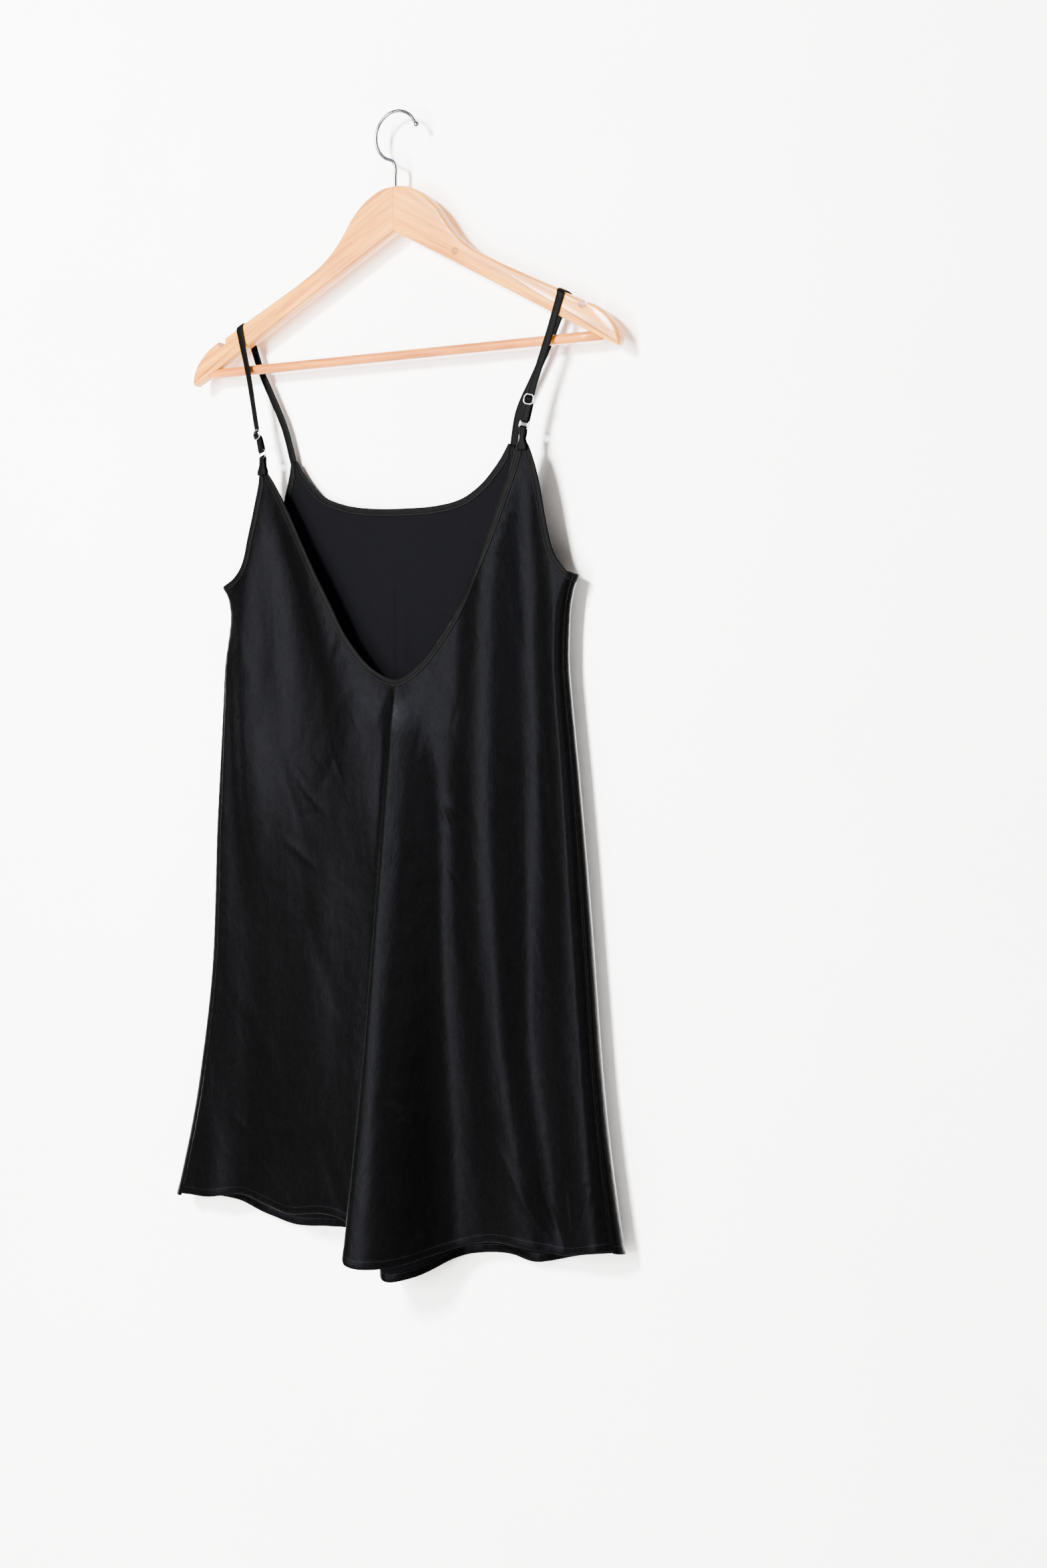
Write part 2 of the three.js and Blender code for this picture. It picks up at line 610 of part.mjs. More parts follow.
function strapGeometry(strap) {
  const { across } = strapFrame(strap);
  const slope = new THREE.Vector3(1, 0, -strap.side * ARM_SLOPE).normalize();
  const backAcross = new THREE.Vector3(1, 0, strap.side * BACK_SLANT).normalize();
  const level = new THREE.Vector3(1, 0, 0);
  const lift = ARM_EDGE + STRAP / 2 + SEAM_GAP + LOOP_EASE;
  const overArm = [90, 45, 0].map((degrees) => {
    const angle = THREE.MathUtils.degToRad(degrees);
    const y = ARM_THICK / 2 - ARM_EDGE + lift * Math.sin(angle);
    return [y, lift * (Math.cos(angle) - 1)];
  });
  const crossing = [...overArm, ...overArm.slice().reverse().map(([y, z]) => [-y, z])];
  const stops = [
    [pointOn(back, strap.backEnd, 1), backAcross],
    ...strap.back.map((p) => [vector(p), backAcross]),
    [vector(strap.armBack), level],
    ...crossing.map(([y, z]) => [vector(strap.armTop).add(new THREE.Vector3(0, y, z)), slope]),
    [vector(strap.armFront), level],
    ...strap.front.map((p) => [vector(p), across]),
    ...strapLoop(strap).line.map((p) => [p, across]),
  ];
  return band(smoothStations(stops), STRAP_WIDTH, STRAP);
}

// A place just clear of a panel's binding, in front of it or toward the wall.
function pointOn(panel, [x, z], side) {
  const point = panel.at(x, z);
  point.y += side * (BINDING / 2 + STRAP / 2 + SEAM_GAP);
  return point;
}

// Stations on a smooth curve through the stops, closer together where it turns.
function smoothStations(stops) {
  const curve = new THREE.CatmullRomCurve3(stops.map(([p]) => p), false, 'centripetal');
  const stations = [];
  const last = stops.length - 1;
  for (let i = 0; i < last; i += 1) {
    const length = stops[i][0].distanceTo(stops[i + 1][0]);
    const steps = length > 12 ? 3 : 2;
    for (let k = 0; k < steps; k += 1) {
      const t = k / steps;
      stations.push({
        at: curve.getPoint((i + t) / last),
        across: stops[i][1].clone().lerp(stops[i + 1][1], t).normalize(),
      });
    }
  }
  stations.push({ at: stops[last][0].clone(), across: stops[last][1] });
  return stations;
}

function roundedOutline(width, height, corner, Kind) {
  const outline = new Kind();
  const x = width / 2;
  const y = height / 2;
  outline.moveTo(x, -y + corner);
  outline.absarc(x - corner, y - corner, corner, 0, Math.PI / 2, false);
  outline.absarc(-x + corner, y - corner, corner, Math.PI / 2, Math.PI, false);
  outline.absarc(-x + corner, -y + corner, corner, Math.PI, Math.PI * 1.5, false);
  outline.absarc(x - corner, -y + corner, corner, Math.PI * 1.5, Math.PI * 2, false);
  return outline;
}

// Turns a shape drawn with x across and y up to stand in a strap's frame.
function standIn(geometry, strap, centre) {
  const { down, across } = strapFrame(strap);
  const up = down.clone().negate();
  const outward = new THREE.Vector3().crossVectors(across, up);
  const basis = new THREE.Matrix4().makeBasis(across, up, outward);
  basis.setPosition(centre);
  return geometry.applyMatrix4(basis);
}

// The slider: a rounded frame in front of the strap with a bar across behind it.
function sliderGeometry(strap) {
  const { inward } = strapFrame(strap);
  const { barLift } = strapLoop(strap);
  const shape = roundedOutline(SLIDER.width, SLIDER.height, SLIDER.corner, THREE.Shape);
  const windowHeight = (SLIDER.height - 3 * SLIDER.bar) / 2;
  const windowWidth = SLIDER.width - 2 * SLIDER.bar;
  for (const side of [-1, 1]) {
    const hole = new THREE.Path();
    const middle = side * (SLIDER.bar + windowHeight) / 2;
    const low = middle - windowHeight / 2;
    const high = middle + windowHeight / 2;
    const reach = windowWidth / 2;
    hole.moveTo(-reach, low);
    hole.lineTo(reach, low);
    hole.lineTo(reach, high);
    hole.lineTo(-reach, high);
    hole.closePath();
    shape.holes.push(hole);
  }
  const geometry = new THREE.ExtrudeGeometry(shape, {
    depth: SLIDER.thick, bevelEnabled: false, curveSegments: 3,
  });
  geometry.translate(0, 0, -SLIDER.thick / 2);
  const centre = vector(strap.slider).addScaledVector(inward, -barLift);
  return standIn(geometry, strap, centre);
}

function ringGeometry(strap) {
  const { inward } = strapFrame(strap);
  const { turn } = strapLoop(strap);
  const inner = { width: RING.width - RING.wire, height: RING.height - RING.wire };
  const path = roundedOutline(inner.width, inner.height, RING.corner, THREE.Path);
  const places = path.getSpacedPoints(RING_STEPS).slice(0, -1);
  const curve = new THREE.CatmullRomCurve3(places.map((p) => new THREE.Vector3(p.x, p.y, 0)), true);
  const geometry = closedTube(curve, RING.wire / 2, RING_STEPS, 6);
  const centre = vector(strap.ring).addScaledVector(inward, turn);
  return standIn(geometry, strap, centre);
}

// A closed ring of wire along a closed flat curve.
function closedTube(curve, radius, steps, sides) {
  const positions = [];
  const index = [];
  const axis = new THREE.Vector3(0, 0, 1);
  for (let i = 0; i < steps; i += 1) {
    const at = curve.getPointAt(i / steps);
    const outward = new THREE.Vector3().crossVectors(curve.getTangentAt(i / steps), axis);
    for (let j = 0; j < sides; j += 1) {
      const angle = (2 * Math.PI * j) / sides;
      const point = at.clone().addScaledVector(outward, radius * Math.cos(angle))
        .addScaledVector(axis, radius * Math.sin(angle));
      positions.push(...point.toArray());
      const [a, b] = [i * sides + j, i * sides + ((j + 1) % sides)];
      const [c, d] = [a, b].map((k) => (k + sides) % (steps * sides));
      index.push(a, c, b, b, c, d);
    }
  }
  const geometry = new THREE.BufferGeometry();
  geometry.setAttribute('position', new THREE.Float32BufferAttribute(positions, 3));
  geometry.setIndex(index);
  return geometry;
}

// The tab of satin folded over the ring's lower bar, its two legs clasping the point.
function tabGeometry(strap) {
  const { down, across, inward } = strapFrame(strap);
  const { turn } = strapLoop(strap);
  const fold = RING.wire / 2 + TAB / 2 + SEAM_GAP + LOOP_EASE;
  const centre = vector(strap.ring).addScaledVector(inward, turn)
    .addScaledVector(down, (RING.height - RING.wire) / 2);
  const point = front.at(...strap.point).sub(centre);
  const length = point.dot(down);
  const clasp = BINDING / 2 + TAB / 2 + SEAM_GAP + LOOP_EASE;
  const pointDepth = point.dot(inward);
  const end = length + TAB_OVERLAP;
  const straight = 3;
  const opening = [length * 0.62, pointDepth * 0.6];
  const line = [
    [end, pointDepth - clasp], [opening[0], opening[1] - fold], [straight, -fold], [0, -fold],
    [-fold * EIGHTH, -fold * EIGHTH], [-fold, 0], [-fold * EIGHTH, fold * EIGHTH], [0, fold],
    [straight, fold], [opening[0], opening[1] + fold], [end, pointDepth + clasp],
  ];
  const stations = line.map(([along, depth]) => ({
    at: centre.clone().addScaledVector(down, along).addScaledVector(inward, depth),
    across: across.clone(),
  }));
  return band(stations.reverse(), TAB_WIDTH, TAB);
}

// A solid for cutting, from a closed mesh.
function solidOf(geometry) {
  const plain = geometry.clone();
  plain.deleteAttribute('normal');
  plain.deleteAttribute('uv');
  const merged = mergeVertices(plain, 1e-4);
  const mesh = new wasm.Mesh({
    numProp: 3,
    vertProperties: new Float32Array(merged.attributes.position.array),
    triVerts: new Uint32Array(merged.index.array),
  });
  return new wasm.Manifold(mesh);
}

function geometryOf(solid) {
  const { vertProperties, triVerts } = solid.getMesh();
  const geometry = new THREE.BufferGeometry();
  geometry.setAttribute('position', new THREE.BufferAttribute(new Float32Array(vertProperties), 3));
  geometry.setIndex(new THREE.BufferAttribute(new Uint32Array(triVerts), 1));
  return geometry;
}

function rod(radius, length, axis, centre, sides = 20) {
  const geometry = new THREE.CylinderGeometry(radius, radius, length, sides);
  if (axis === 'x') geometry.rotateZ(Math.PI / 2);
  if (axis === 'z') geometry.rotateX(Math.PI / 2);
  geometry.translate(...centre);
  return geometry;
}

// One wooden arm, with its notch, the bar's socket and its half of the shank's hole.
function armGeometry(side) {
  const shape = new THREE.Shape();
  const crown = new THREE.CatmullRomCurve3(ARM_TOP.map(([x, z]) => new THREE.Vector3(x, z, 0)));
  const inset = ARM_EDGE;
  const outline = [
    ...crown.getPoints(26).map((p) => [p.x, p.y]), ARM_TIP, ...ARM_UNDERSIDE,
  ];
  const shrunk = shrink(outline, inset);
  shape.setFromPoints(shrunk.map(([x, z]) => new THREE.Vector2(x, z)));
  const geometry = new THREE.ExtrudeGeometry(shape, {
    depth: ARM_THICK - 2 * inset, bevelEnabled: true, bevelThickness: inset, bevelSize: inset,
    bevelSegments: 2, curveSegments: 4,
  });
  geometry.rotateX(Math.PI / 2);
  geometry.translate(0, ARM_THICK / 2 - inset, 0);
  let solid = solidOf(geometry);
  const mitre = new THREE.BoxGeometry(DRILL, DRILL, 2 * DRILL);
  mitre.translate(HALF_GAP - DRILL / 2, 0, SHANK_END);
  solid = solid.subtract(solidOf(mitre));
  const notch = rod(NOTCH.radius, DRILL, 'y', [NOTCH.x, 0, NOTCH.z], 18);
  solid = solid.subtract(solidOf(notch));
  const socketEnd = BAR_REACH + SEAM_GAP;
  const socket = rod(BAR_HOLE / 2, DRILL, 'x', [socketEnd - DRILL / 2, 0, BAR_HEIGHT]);
  solid = solid.subtract(solidOf(socket));
  const holeEnd = SHANK_END - SEAM_GAP;
  const hole = rod(WIRE_HOLE / 2, DRILL, 'z', [side * HOOK_SHIFT, 0, holeEnd + DRILL / 2], 14);
  solid = solid.subtract(solidOf(hole));
  const arm = geometryOf(solid);
  if (side > 0) return arm;
  arm.scale(-1, 1, 1);
  const index = arm.index.array;
  for (let i = 0; i < index.length; i += 3) [index[i], index[i + 1]] = [index[i + 1], index[i]];
  return arm;
}

// An outline moved inward by a distance; its mitre end at x = 0 stays past the cut.
function shrink(outline, distance) {
  const count = outline.length;
  return outline.map(([x, z], i) => {
    const [px, pz] = outline[(i + count - 1) % count];
    const [nx, nz] = outline[(i + 1) % count];
    const before = new THREE.Vector2(x - px, z - pz).normalize();
    const after = new THREE.Vector2(nx - x, nz - z).normalize();
    const inward = new THREE.Vector2(before.y + after.y, -before.x - after.x).normalize();
    const spread = Math.max(0.45, Math.sqrt((1 + before.dot(after)) / 2));
    const cut = i === 0 || i === count - 1;
    const moveX = cut ? -distance - 4 : (inward.x * distance) / spread;
    const flatMove = i === 0 ? -distance : distance;
    return [x + moveX, z + (cut ? flatMove : (inward.y * distance) / spread)];
  });
}

// The hook: a straight shank, a bend and three quarters of a circle.
function hookCurve() {
  const radius = HOOK_RADIUS + WIRE / 2;
  const centre = new THREE.Vector2(0, -HOOK_RADIUS);
  const points = [
    new THREE.Vector3(HOOK_SHIFT, 0, SHANK_END), new THREE.Vector3(HOOK_SHIFT, 0, -70),
    new THREE.Vector3(HOOK_SHIFT, 0, -56), new THREE.Vector3(HOOK_SHIFT, 0, -47),
    new THREE.Vector3(-4.0, 0, -41.6),
  ];
  for (let degrees = 238; degrees >= 26; degrees -= 21.2) {
    const angle = THREE.MathUtils.degToRad(degrees);
    points.push(new THREE.Vector3(
      centre.x + radius * Math.cos(angle), 0, centre.y + radius * Math.sin(angle),
    ));
  }
  return new THREE.CatmullRomCurve3(points, false, 'centripetal');
}

function hookGeometry() {
  const section = new THREE.Shape();
  section.absarc(0, 0, WIRE / 2, 0, Math.PI * 2, false);
  return new THREE.ExtrudeGeometry(section, {
    extrudePath: hookCurve(), steps: 40, curveSegments: 4, bevelEnabled: false,
  });
}

// The ball drawn over the hook's open end, bored to take the wire.
function tipGeometry() {
  const curve = hookCurve();
  const end = curve.getPoint(1);
  const along = curve.getTangent(1);
  const centre = end.clone().addScaledVector(along, TIP * 0.5 + SEAM_GAP);
  const geometry = new THREE.SphereGeometry(TIP / 2, 14, 10);
  geometry.translate(centre.x, centre.y, centre.z);
  return geometry;
}

const group = new THREE.Group();

function add(name, geometry, finish) {
  const mesh = new THREE.Mesh(geometry, new THREE.MeshStandardMaterial(finish));
  mesh.name = name;
  group.add(mesh);
}

// The two halves of a panel's rows meet on the crest of its centre fold.
const frontCrest = column(FRONT_FOLDS.centreFold, 'x');
const backCrest = column(BACK_FOLDS.centreFold, 'x');
const frontRows = [FRONT_LEVELS, FRONT_COLUMNS, frontCrest];
const backRows = [BACK_LEVELS, BACK_COLUMNS, backCrest];

add('front_panel', panelGeometry(front, frontEdges, ...frontRows), COLOURS.satin);
add('back_panel', panelGeometry(back, backEdges, ...backRows), COLOURS.satin);
add('front_neck_binding', neckBinding(front, frontEdges), COLOURS.binding);
add('back_neck_binding', neckBinding(back, backEdges), COLOURS.binding);
add('armhole_binding_left', armholeBinding(-1), COLOURS.binding);
add('armhole_binding_right', armholeBinding(1), COLOURS.binding);
for (const [name, strap] of Object.entries(STRAPS)) {
  add(`strap_${name}`, strapGeometry(strap), COLOURS.binding);
  add(`slider_${name}`, sliderGeometry(strap), COLOURS.metal);
  add(`ring_${name}`, ringGeometry(strap), COLOURS.metal);
  add(`tab_${name}`, tabGeometry(strap), COLOURS.binding);
}
add('hanger_arm_left', armGeometry(-1), COLOURS.wood);
add('hanger_arm_right', armGeometry(1), COLOURS.wood);
add('hanger_bar', rod(BAR_DIAMETER / 2, 2 * BAR_REACH, 'x', [0, 0, BAR_HEIGHT], 24), COLOURS.wood);
add('hook', hookGeometry(), COLOURS.chrome);
add('hook_tip', tipGeometry(), COLOURS.chrome);

export default group;
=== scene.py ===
"""A black satin slip dress hanging by its thin straps from a wooden hanger.

Metres, +Z up, +X to the viewer's right, and the dress front faces -Y. The origin is the inner top
of the hanger's hook. The cloth is drawn on its flat cut, x across and z down in millimetres, and
carried from there to space by the same tables of folds as the CAD solids, with finer creases added.
"""

import math  # noqa: E402

import bmesh  # noqa: E402
import bpy  # noqa: E402
import numpy as np  # noqa: E402
from mathutils import Matrix, Vector  # noqa: E402


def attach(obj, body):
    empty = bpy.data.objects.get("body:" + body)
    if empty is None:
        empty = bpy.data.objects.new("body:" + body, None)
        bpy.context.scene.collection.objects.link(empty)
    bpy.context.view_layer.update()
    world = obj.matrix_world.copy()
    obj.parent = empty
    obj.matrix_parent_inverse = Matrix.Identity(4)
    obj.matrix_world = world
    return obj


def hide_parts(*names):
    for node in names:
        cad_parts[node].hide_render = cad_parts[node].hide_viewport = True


bl_info = {
    "name": "Slip dress on a wooden hanger",
    "version": (1, 0, 0),
    "blender": (4, 5, 0),
    "location": "View3D > Sidebar > Slip dress",
    "description": "Builds the cloth, straps, metal and hanger of a hanging slip dress",
    "category": "Add Mesh",
}

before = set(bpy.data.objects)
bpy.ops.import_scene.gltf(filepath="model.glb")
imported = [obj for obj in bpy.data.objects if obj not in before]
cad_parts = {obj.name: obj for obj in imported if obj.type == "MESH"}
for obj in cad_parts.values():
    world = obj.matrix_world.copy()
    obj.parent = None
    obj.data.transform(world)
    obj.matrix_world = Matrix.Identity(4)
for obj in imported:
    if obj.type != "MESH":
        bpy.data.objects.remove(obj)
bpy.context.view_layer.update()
MM = 0.001


def table(names, *rows):
    """A small table of rows as one array for each named column."""
    return dict(zip(names.split(), np.array(rows, float).T))


# Cloth: the flattened tube and its folds, in millimetres on the flat cut.

HEM_LEVEL = -978.0
DROP_START = -700.0

TUBE = table(
    "z left right round left_turn right_turn",
    (-409, -190, 181, 8, 30, 25), (-421, -184, 176.5, 8, 34, 25), (-440, -182, 173, 8.2, 40, 26),
    (-480, -188, 171.6, 8.6, 50, 27), (-515, -190, 174.5, 9, 60, 28), (-575, -194, 181, 9.4, 72, 30),
    (-637, -198, 187, 9.7, 78, 33), (-700, -200.3, 192.4, 10, 80, 37), (-762, -204, 198, 10.5, 80, 41),
    (-825, -212, 204, 11.2, 80, 46), (-889, -223, 212, 12, 80, 50), (-950, -238, 221, 12.7, 80, 53),
    (-978, -245.5, 225.5, 13, 80, 54),
)

# x is a fold's crest, left and right its reach, depth how far it stands forward and lean how far
# it falls to the left.
FOLD = "z x left right depth lean"
FRONT_FOLDS = {
    "fullness": table(FOLD, (-300, -5, 190, 185, 4, 0), (-978, -10, 225, 220, 5, 0)),
    "swell": table(
        FOLD, (-500, 4, 160, 60, 0, 0), (-602, 6, 170, 62, 4, 0), (-714, 4, 180, 64, 8, 0),
        (-828, 0, 195, 70, 12, 0), (-978, -8, 180, 82, 19, 0),
    ),
    "centre_fold": table(
        FOLD, (-500, 5, 12, 34, 0, 0), (-555, 8, 13, 38, 3, 1), (-602, 8, 15, 42, 6, 3),
        (-714, 8, 22, 48, 11, 8), (-828, 10, 29, 54, 17, 15), (-978, 11, 36, 62, 24, 26),
    ),
    "inner_trough": table(
        FOLD, (-540, 50, 32, 38, 0, 0), (-602, 54, 34, 40, -4, 0), (-714, 55, 36, 42, -5, 0),
        (-828, 60, 40, 48, -6, 0), (-978, 76, 44, 60, -6, 0),
    ),
    "inner_ridge": table(
        FOLD, (-322, 123, 12, 12, 0, 0), (-372, 104, 20, 26, 3, 0), (-419, 96, 26, 34, 5, 0),
        (-600, 98, 40, 38, 5.5, 0), (-714, 106, 42, 34, 5.5, 0), (-828, 118, 44, 30, 4.5, 0),
        (-978, 142, 50, 34, 2, 0),
    ),
    "outer_trough": table(
        FOLD, (-322, 136, 12, 10, 0, 0), (-372, 138, 26, 16, -3, 0), (-419, 139, 34, 26, -5, 0),
        (-600, 140, 38, 36, -6, 0), (-714, 140, 34, 40, -6, 0), (-828, 142, 30, 44, -5, 0),
        (-978, 172, 30, 38, -3, 0),
    ),
    "outer_ridge": table(
        FOLD, (-400, 160, 16, 14, 0, 0), (-465, 163, 26, 14, 2, 0), (-600, 173, 32, 16, 2.5, 0),
        (-828, 190, 38, 18, 3, 0), (-978, 203, 38, 20, 5, 0),
    ),
    "neck_ridge": table(
        FOLD, (-330, -122, 14, 12, 0, 0), (-413, -80, 26, 26, 3, 0), (-508, -44, 34, 34, 4, 0),
        (-600, -26, 40, 30, 2, 0), (-680, -20, 40, 30, 0, 0),
    ),
    "bust_trough": table(
        FOLD, (-330, -136, 10, 10, 0, 0), (-413, -112, 28, 30, -4, 0), (-508, -96, 36, 40, -3, 0),
        (-600, -88, 40, 44, 0, 0),
    ),
    "left_ridge": table(
        FOLD, (-345, -146, 10, 12, 0, 0), (-413, -158, 20, 26, 3, 0), (-510, -160, 20, 34, 3.5, 0),
        (-605, -148, 30, 40, 2.5, 0), (-720, -130, 40, 50, 0, 0),
    ),
    "hem_corner": table(FOLD, (-850, -196, 24, 24, 0, 0), (-978, -200, 32, 30, 6, 0)),
}
BACK_FOLDS = {
    "fullness": table(FOLD, (-296, 0, 180, 176, -0.5, 0), (-978, -8, 225, 222, 1, 0)),
    "centre_fold": table(
        FOLD, (-395, -7, 20, 22, 0, 0), (-450, -6, 20, 24, 2.5, 0), (-602, -5, 26, 32, 7, 1),
        (-714, -2, 30, 38, 13, 3), (-828, 4, 36, 46, 20, 6), (-978, 10, 42, 54, 31, 11),
    ),
    "left_trough": table(
        FOLD, (-345, -84, 30, 34, 0, 0), (-460, -86, 36, 40, -1.5, 0), (-978, -82, 44, 44, -1.5, 0)
    ),
    "left_ridge": table(
        FOLD, (-380, -134, 22, 26, 0, 0), (-520, -140, 26, 36, 2.5, 0), (-978, -152, 40, 46, 7, 0)
    ),
    "right_trough": table(
        FOLD, (-345, 76, 32, 30, 0, 0), (-460, 78, 38, 34, -1.5, 0), (-978, 82, 42, 40, -1.5, 0)
    ),
    "right_ridge": table(
        FOLD, (-380, 124, 26, 22, 0, 0), (-520, 128, 34, 26, 2.5, 0), (-978, 138, 44, 36, 7.5, 0)
    ),
}

# The crisp line of the centre fold: height that the cloth right of it stands forward and step
# that it stands over the cloth left of it, with the reach of each. The edge is 2.4 mm wide, and
# from the line's top the height sets in over 46 mm and the step over 12 mm.
PLEAT_EDGE = 2.4
PLEAT_RISE = 46
PLEAT_START = 12
FRONT_PLEAT = table(
    "z x left right height step",
    (-499, 5, 44, 40, 4.2, 1.5), (-555, 7.5, 40, 44, 4.0, 1.6), (-602, 8, 36, 46, 3.2, 1.5),
    (-714, 8, 30, 48, 1.8, 1.0), (-828, 10, 26, 50, 0.8, 0.5), (-978, 11, 24, 50, 0, 0),
)

# Finer folds that only flatten or sharpen the main ones.
FRONT_FINE = {
    "shoulder": table(
        FOLD, (-520, 26, 20, 22, 0, 0), (-602, 28, 21, 24, 0.8, 0), (-714, 30, 23, 24, 1.8, 0),
        (-828, 31, 28, 24, 4.2, 0), (-900, 33, 32, 25, 6.0, 0), (-978, 37, 36, 28, 7.0, 0),
    ),
    "fold_face": table(
        FOLD, (-760, 16, 22, 26, 0, 0), (-860, 20, 24, 28, 0.8, 0), (-978, 24, 28, 32, 1.8, 0)
    ),
    "left_drape": table(
        FOLD, (-480, -150, 22, 84, 0, 0), (-540, -154, 26, 96, 2.0, 0), (-610, -152, 30, 96, 1.8, 0),
        (-680, -150, 34, 90, 0, 0),
    ),
    "corner_ease": table(FOLD, (-850, -196, 24, 24, 0, 0), (-978, -200, 32, 30, -4.2, 0)),
    "waist_ease": table(
        FOLD, (-620, -30, 50, 40, 0, 0), (-700, -34, 58, 42, -1.6, 0), (-780, -40, 60, 46, -1.2, 0),
        (-860, -44, 60, 46, 0, 0),
    ),
}
BACK_FINE = {
    "shoulder": table(
        FOLD, (-560, 30, 22, 24, 0, 0), (-760, 36, 26, 30, 1.4, 0), (-978, 44, 32, 36, 3.0, 0)
    ),
}

# Small creases in the satin: straight or nearly so, from one place to another on the flat cut.
# Width is a crease's half width and depth how far it stands out, or in where negative.
CREASE = "x0 z0 x1 z1 width depth"
FRONT_CREASES = table(
    CREASE, (-3, -504, -12, -536, 3, -0.4), (-14, -500, -44, -552, 5, 0.35),
    (-30, -492, -64, -536, 4.5, -0.3), (18, -502, 24, -540, 4, 0.35), (30, -494, 48, -532, 4.5, -0.3),
    (46, -476, 66, -512, 5, 0.25), (-52, -560, -78, -600, 5, 0.5), (-96, -588, -70, -612, 3, 0.7),
    (-104, -574, -84, -590, 2.4, -0.6), (-92, -612, -66, -604, 2.6, 0.6), (-84, -560, -66, -578, 2.2, 0.5),
    (-62, -556, -46, -588, 2.6, -0.5), (-112, -640, -78, -662, 3.4, 0.6), (-40, -520, -24, -548, 2.4, 0.4),
    (34, -540, 30, -566, 2.6, -0.4), (60, -660, 84, -690, 3.2, 0.5), (-118, -560, -92, -640, 6, -0.5),
    (52, -610, 60, -624, 1.6, -0.9), (56, -606, 78, -616, 3, 0.6), (36, -862, 46, -870, 1.8, 0.8),
    (24, -842, 52, -858, 3, -0.5), (130, -930, 168, -975, 2.6, 0.9), (152, -926, 176, -972, 2.4, -0.9),
    (110, -895, 150, -950, 4, 0.6), (176, -915, 206, -918, 1.8, 0.7), (178, -918, 184, -960, 1.8, -0.7),
    (206, -918, 188, -962, 1.8, 0.7), (-140, -930, -90, -965, 6, 0.8), (-60, -920, -40, -968, 7, -0.9),
    (-168, -780, -120, -850, 9, 0.6), (-90, -700, -50, -790, 9, -0.6), (70, -700, 92, -760, 6, 0.5),
    (88, -452, 100, -470, 2.2, 0.5), (70, -520, 62, -544, 2.4, 0.4), (-30, -470, -44, -486, 2.0, 0.45),
    (-50, -444, -60, -462, 2.0, -0.4), (44, -458, 56, -474, 2.0, 0.45), (58, -436, 66, -452, 1.8, -0.4),
    (-150, -880, -120, -905, 3.4, 0.6), (-130, -905, -96, -930, 3.0, -0.5),
    (-176, -902, -150, -922, 3.2, 0.7), (150, -560, 158, -640, 5, 0.6), (-170, -440, -150, -500, 5, 0.5),
    (118, -400, 128, -470, 4, 0.6),
)
BACK_CREASES = table(
    CREASE, (-60, -352, -84, -420, 5, 0.7), (50, -350, 70, -410, 5, 0.6), (-11, -392, -7, -520, 2.4, -1.2),
    (-4, -400, -3, -500, 3.0, 0.6), (-120, -520, -90, -620, 8, 0.7), (110, -540, 84, -660, 8, 0.7),
    (-30, -600, -52, -720, 7, -0.6), (60, -700, 44, -810, 7, -0.7), (-150, -820, -120, -930, 8, 0.9),
    (150, -800, 128, -930, 8, 0.9), (-70, -880, -40, -960, 6, -0.8), (20, -560, 34, -640, 5, 0.5),
    (-170, -450, -150, -540, 6, 0.6), (170, -450, 150, -560, 6, 0.6), (90, -930, 118, -972, 5, 0.8),
)

# Height of the hem along the flat cut.
FRONT_HEM = table(
    "x z", (-262, -975), (-232, -974), (-200, -973), (-162, -967), (-130, -972), (-100, -976), (-62, -970),
    (-34, -972), (-12, -986), (10, -1005), (34, -1005), (60, -993), (84, -984), (112, -979), (150, -981),
    (176, -983), (206, -976), (240, -971),
)
BACK_HEM = table(
    "x z", (-280, -976), (-240, -977), (-184, -980), (-145, -988), (-118, -995), (-84, -993), (-56, -993),
    (-24, -1010), (8, -1026), (30, -1021), (54, -1004), (80, -997), (112, -994), (140, -996), (184, -986),
    (270, -972),
)

# Cut edges on the flat cut: necklines from the left strap point to the right one, armholes from
# their strap point to the side seam.
FRONT_NECK = (
    (-136, -305), (-125, -320), (-110.5, -344), (-97, -368), (-78.5, -400), (-61, -430), (-47.3, -454),
    (-22, -483), (-9, -491), (3.5, -495.5), (14, -494), (35, -478.5), (55, -454), (71, -430), (87.5, -400),
    (102, -368), (111, -344), (119, -323), (127, -299),
)
BACK_NECK = (
    (-114, -296), (-107, -307), (-97, -319), (-85, -329.5), (-60, -339), (-30, -343.5), (4, -344.8),
    (36, -344), (62, -339), (81, -328), (92, -317.5), (101.5, -306), (109, -294),
)
FRONT_ARMHOLE = {
    -1: (
        (-143.3, -305), (-145, -318), (-148.5, -332), (-156.5, -362), (-164, -390), (-173, -401),
        (-184, -407.5),
    ),
    1: (
        (138, -299), (143, -312), (148.5, -332), (154.5, -361), (162, -389), (169.5, -401), (177, -408),
    ),
}
BACK_ARMHOLE = {
    -1: (
        (-120, -296), (-122.5, -310), (-128.5, -332), (-140, -366), (-155, -390), (-172, -403),
        (-190, -408.6),
    ),
    1: (
        (115, -296), (118, -310), (124, -332), (134, -366), (147, -390), (162, -403), (180, -409.4),
    ),
}

# Straps, sliders and rings, in millimetres.

STRAP_WIDTH = 7.4
STRAP_THICK = 1.0
TAB_THICK = 1.2
SLIDER = {"width": 10.2, "height": 9.2, "wire": 1.1, "corner": 3.2}
RING = {"width": 10.4, "height": 8.0, "wire": 1.2, "corner": 2.6}
# Half the thickness of a slider's middle bar, and the room left between satin and what it passes over.
SLIDER_BAR = 0.5
CLEAR = 0.45
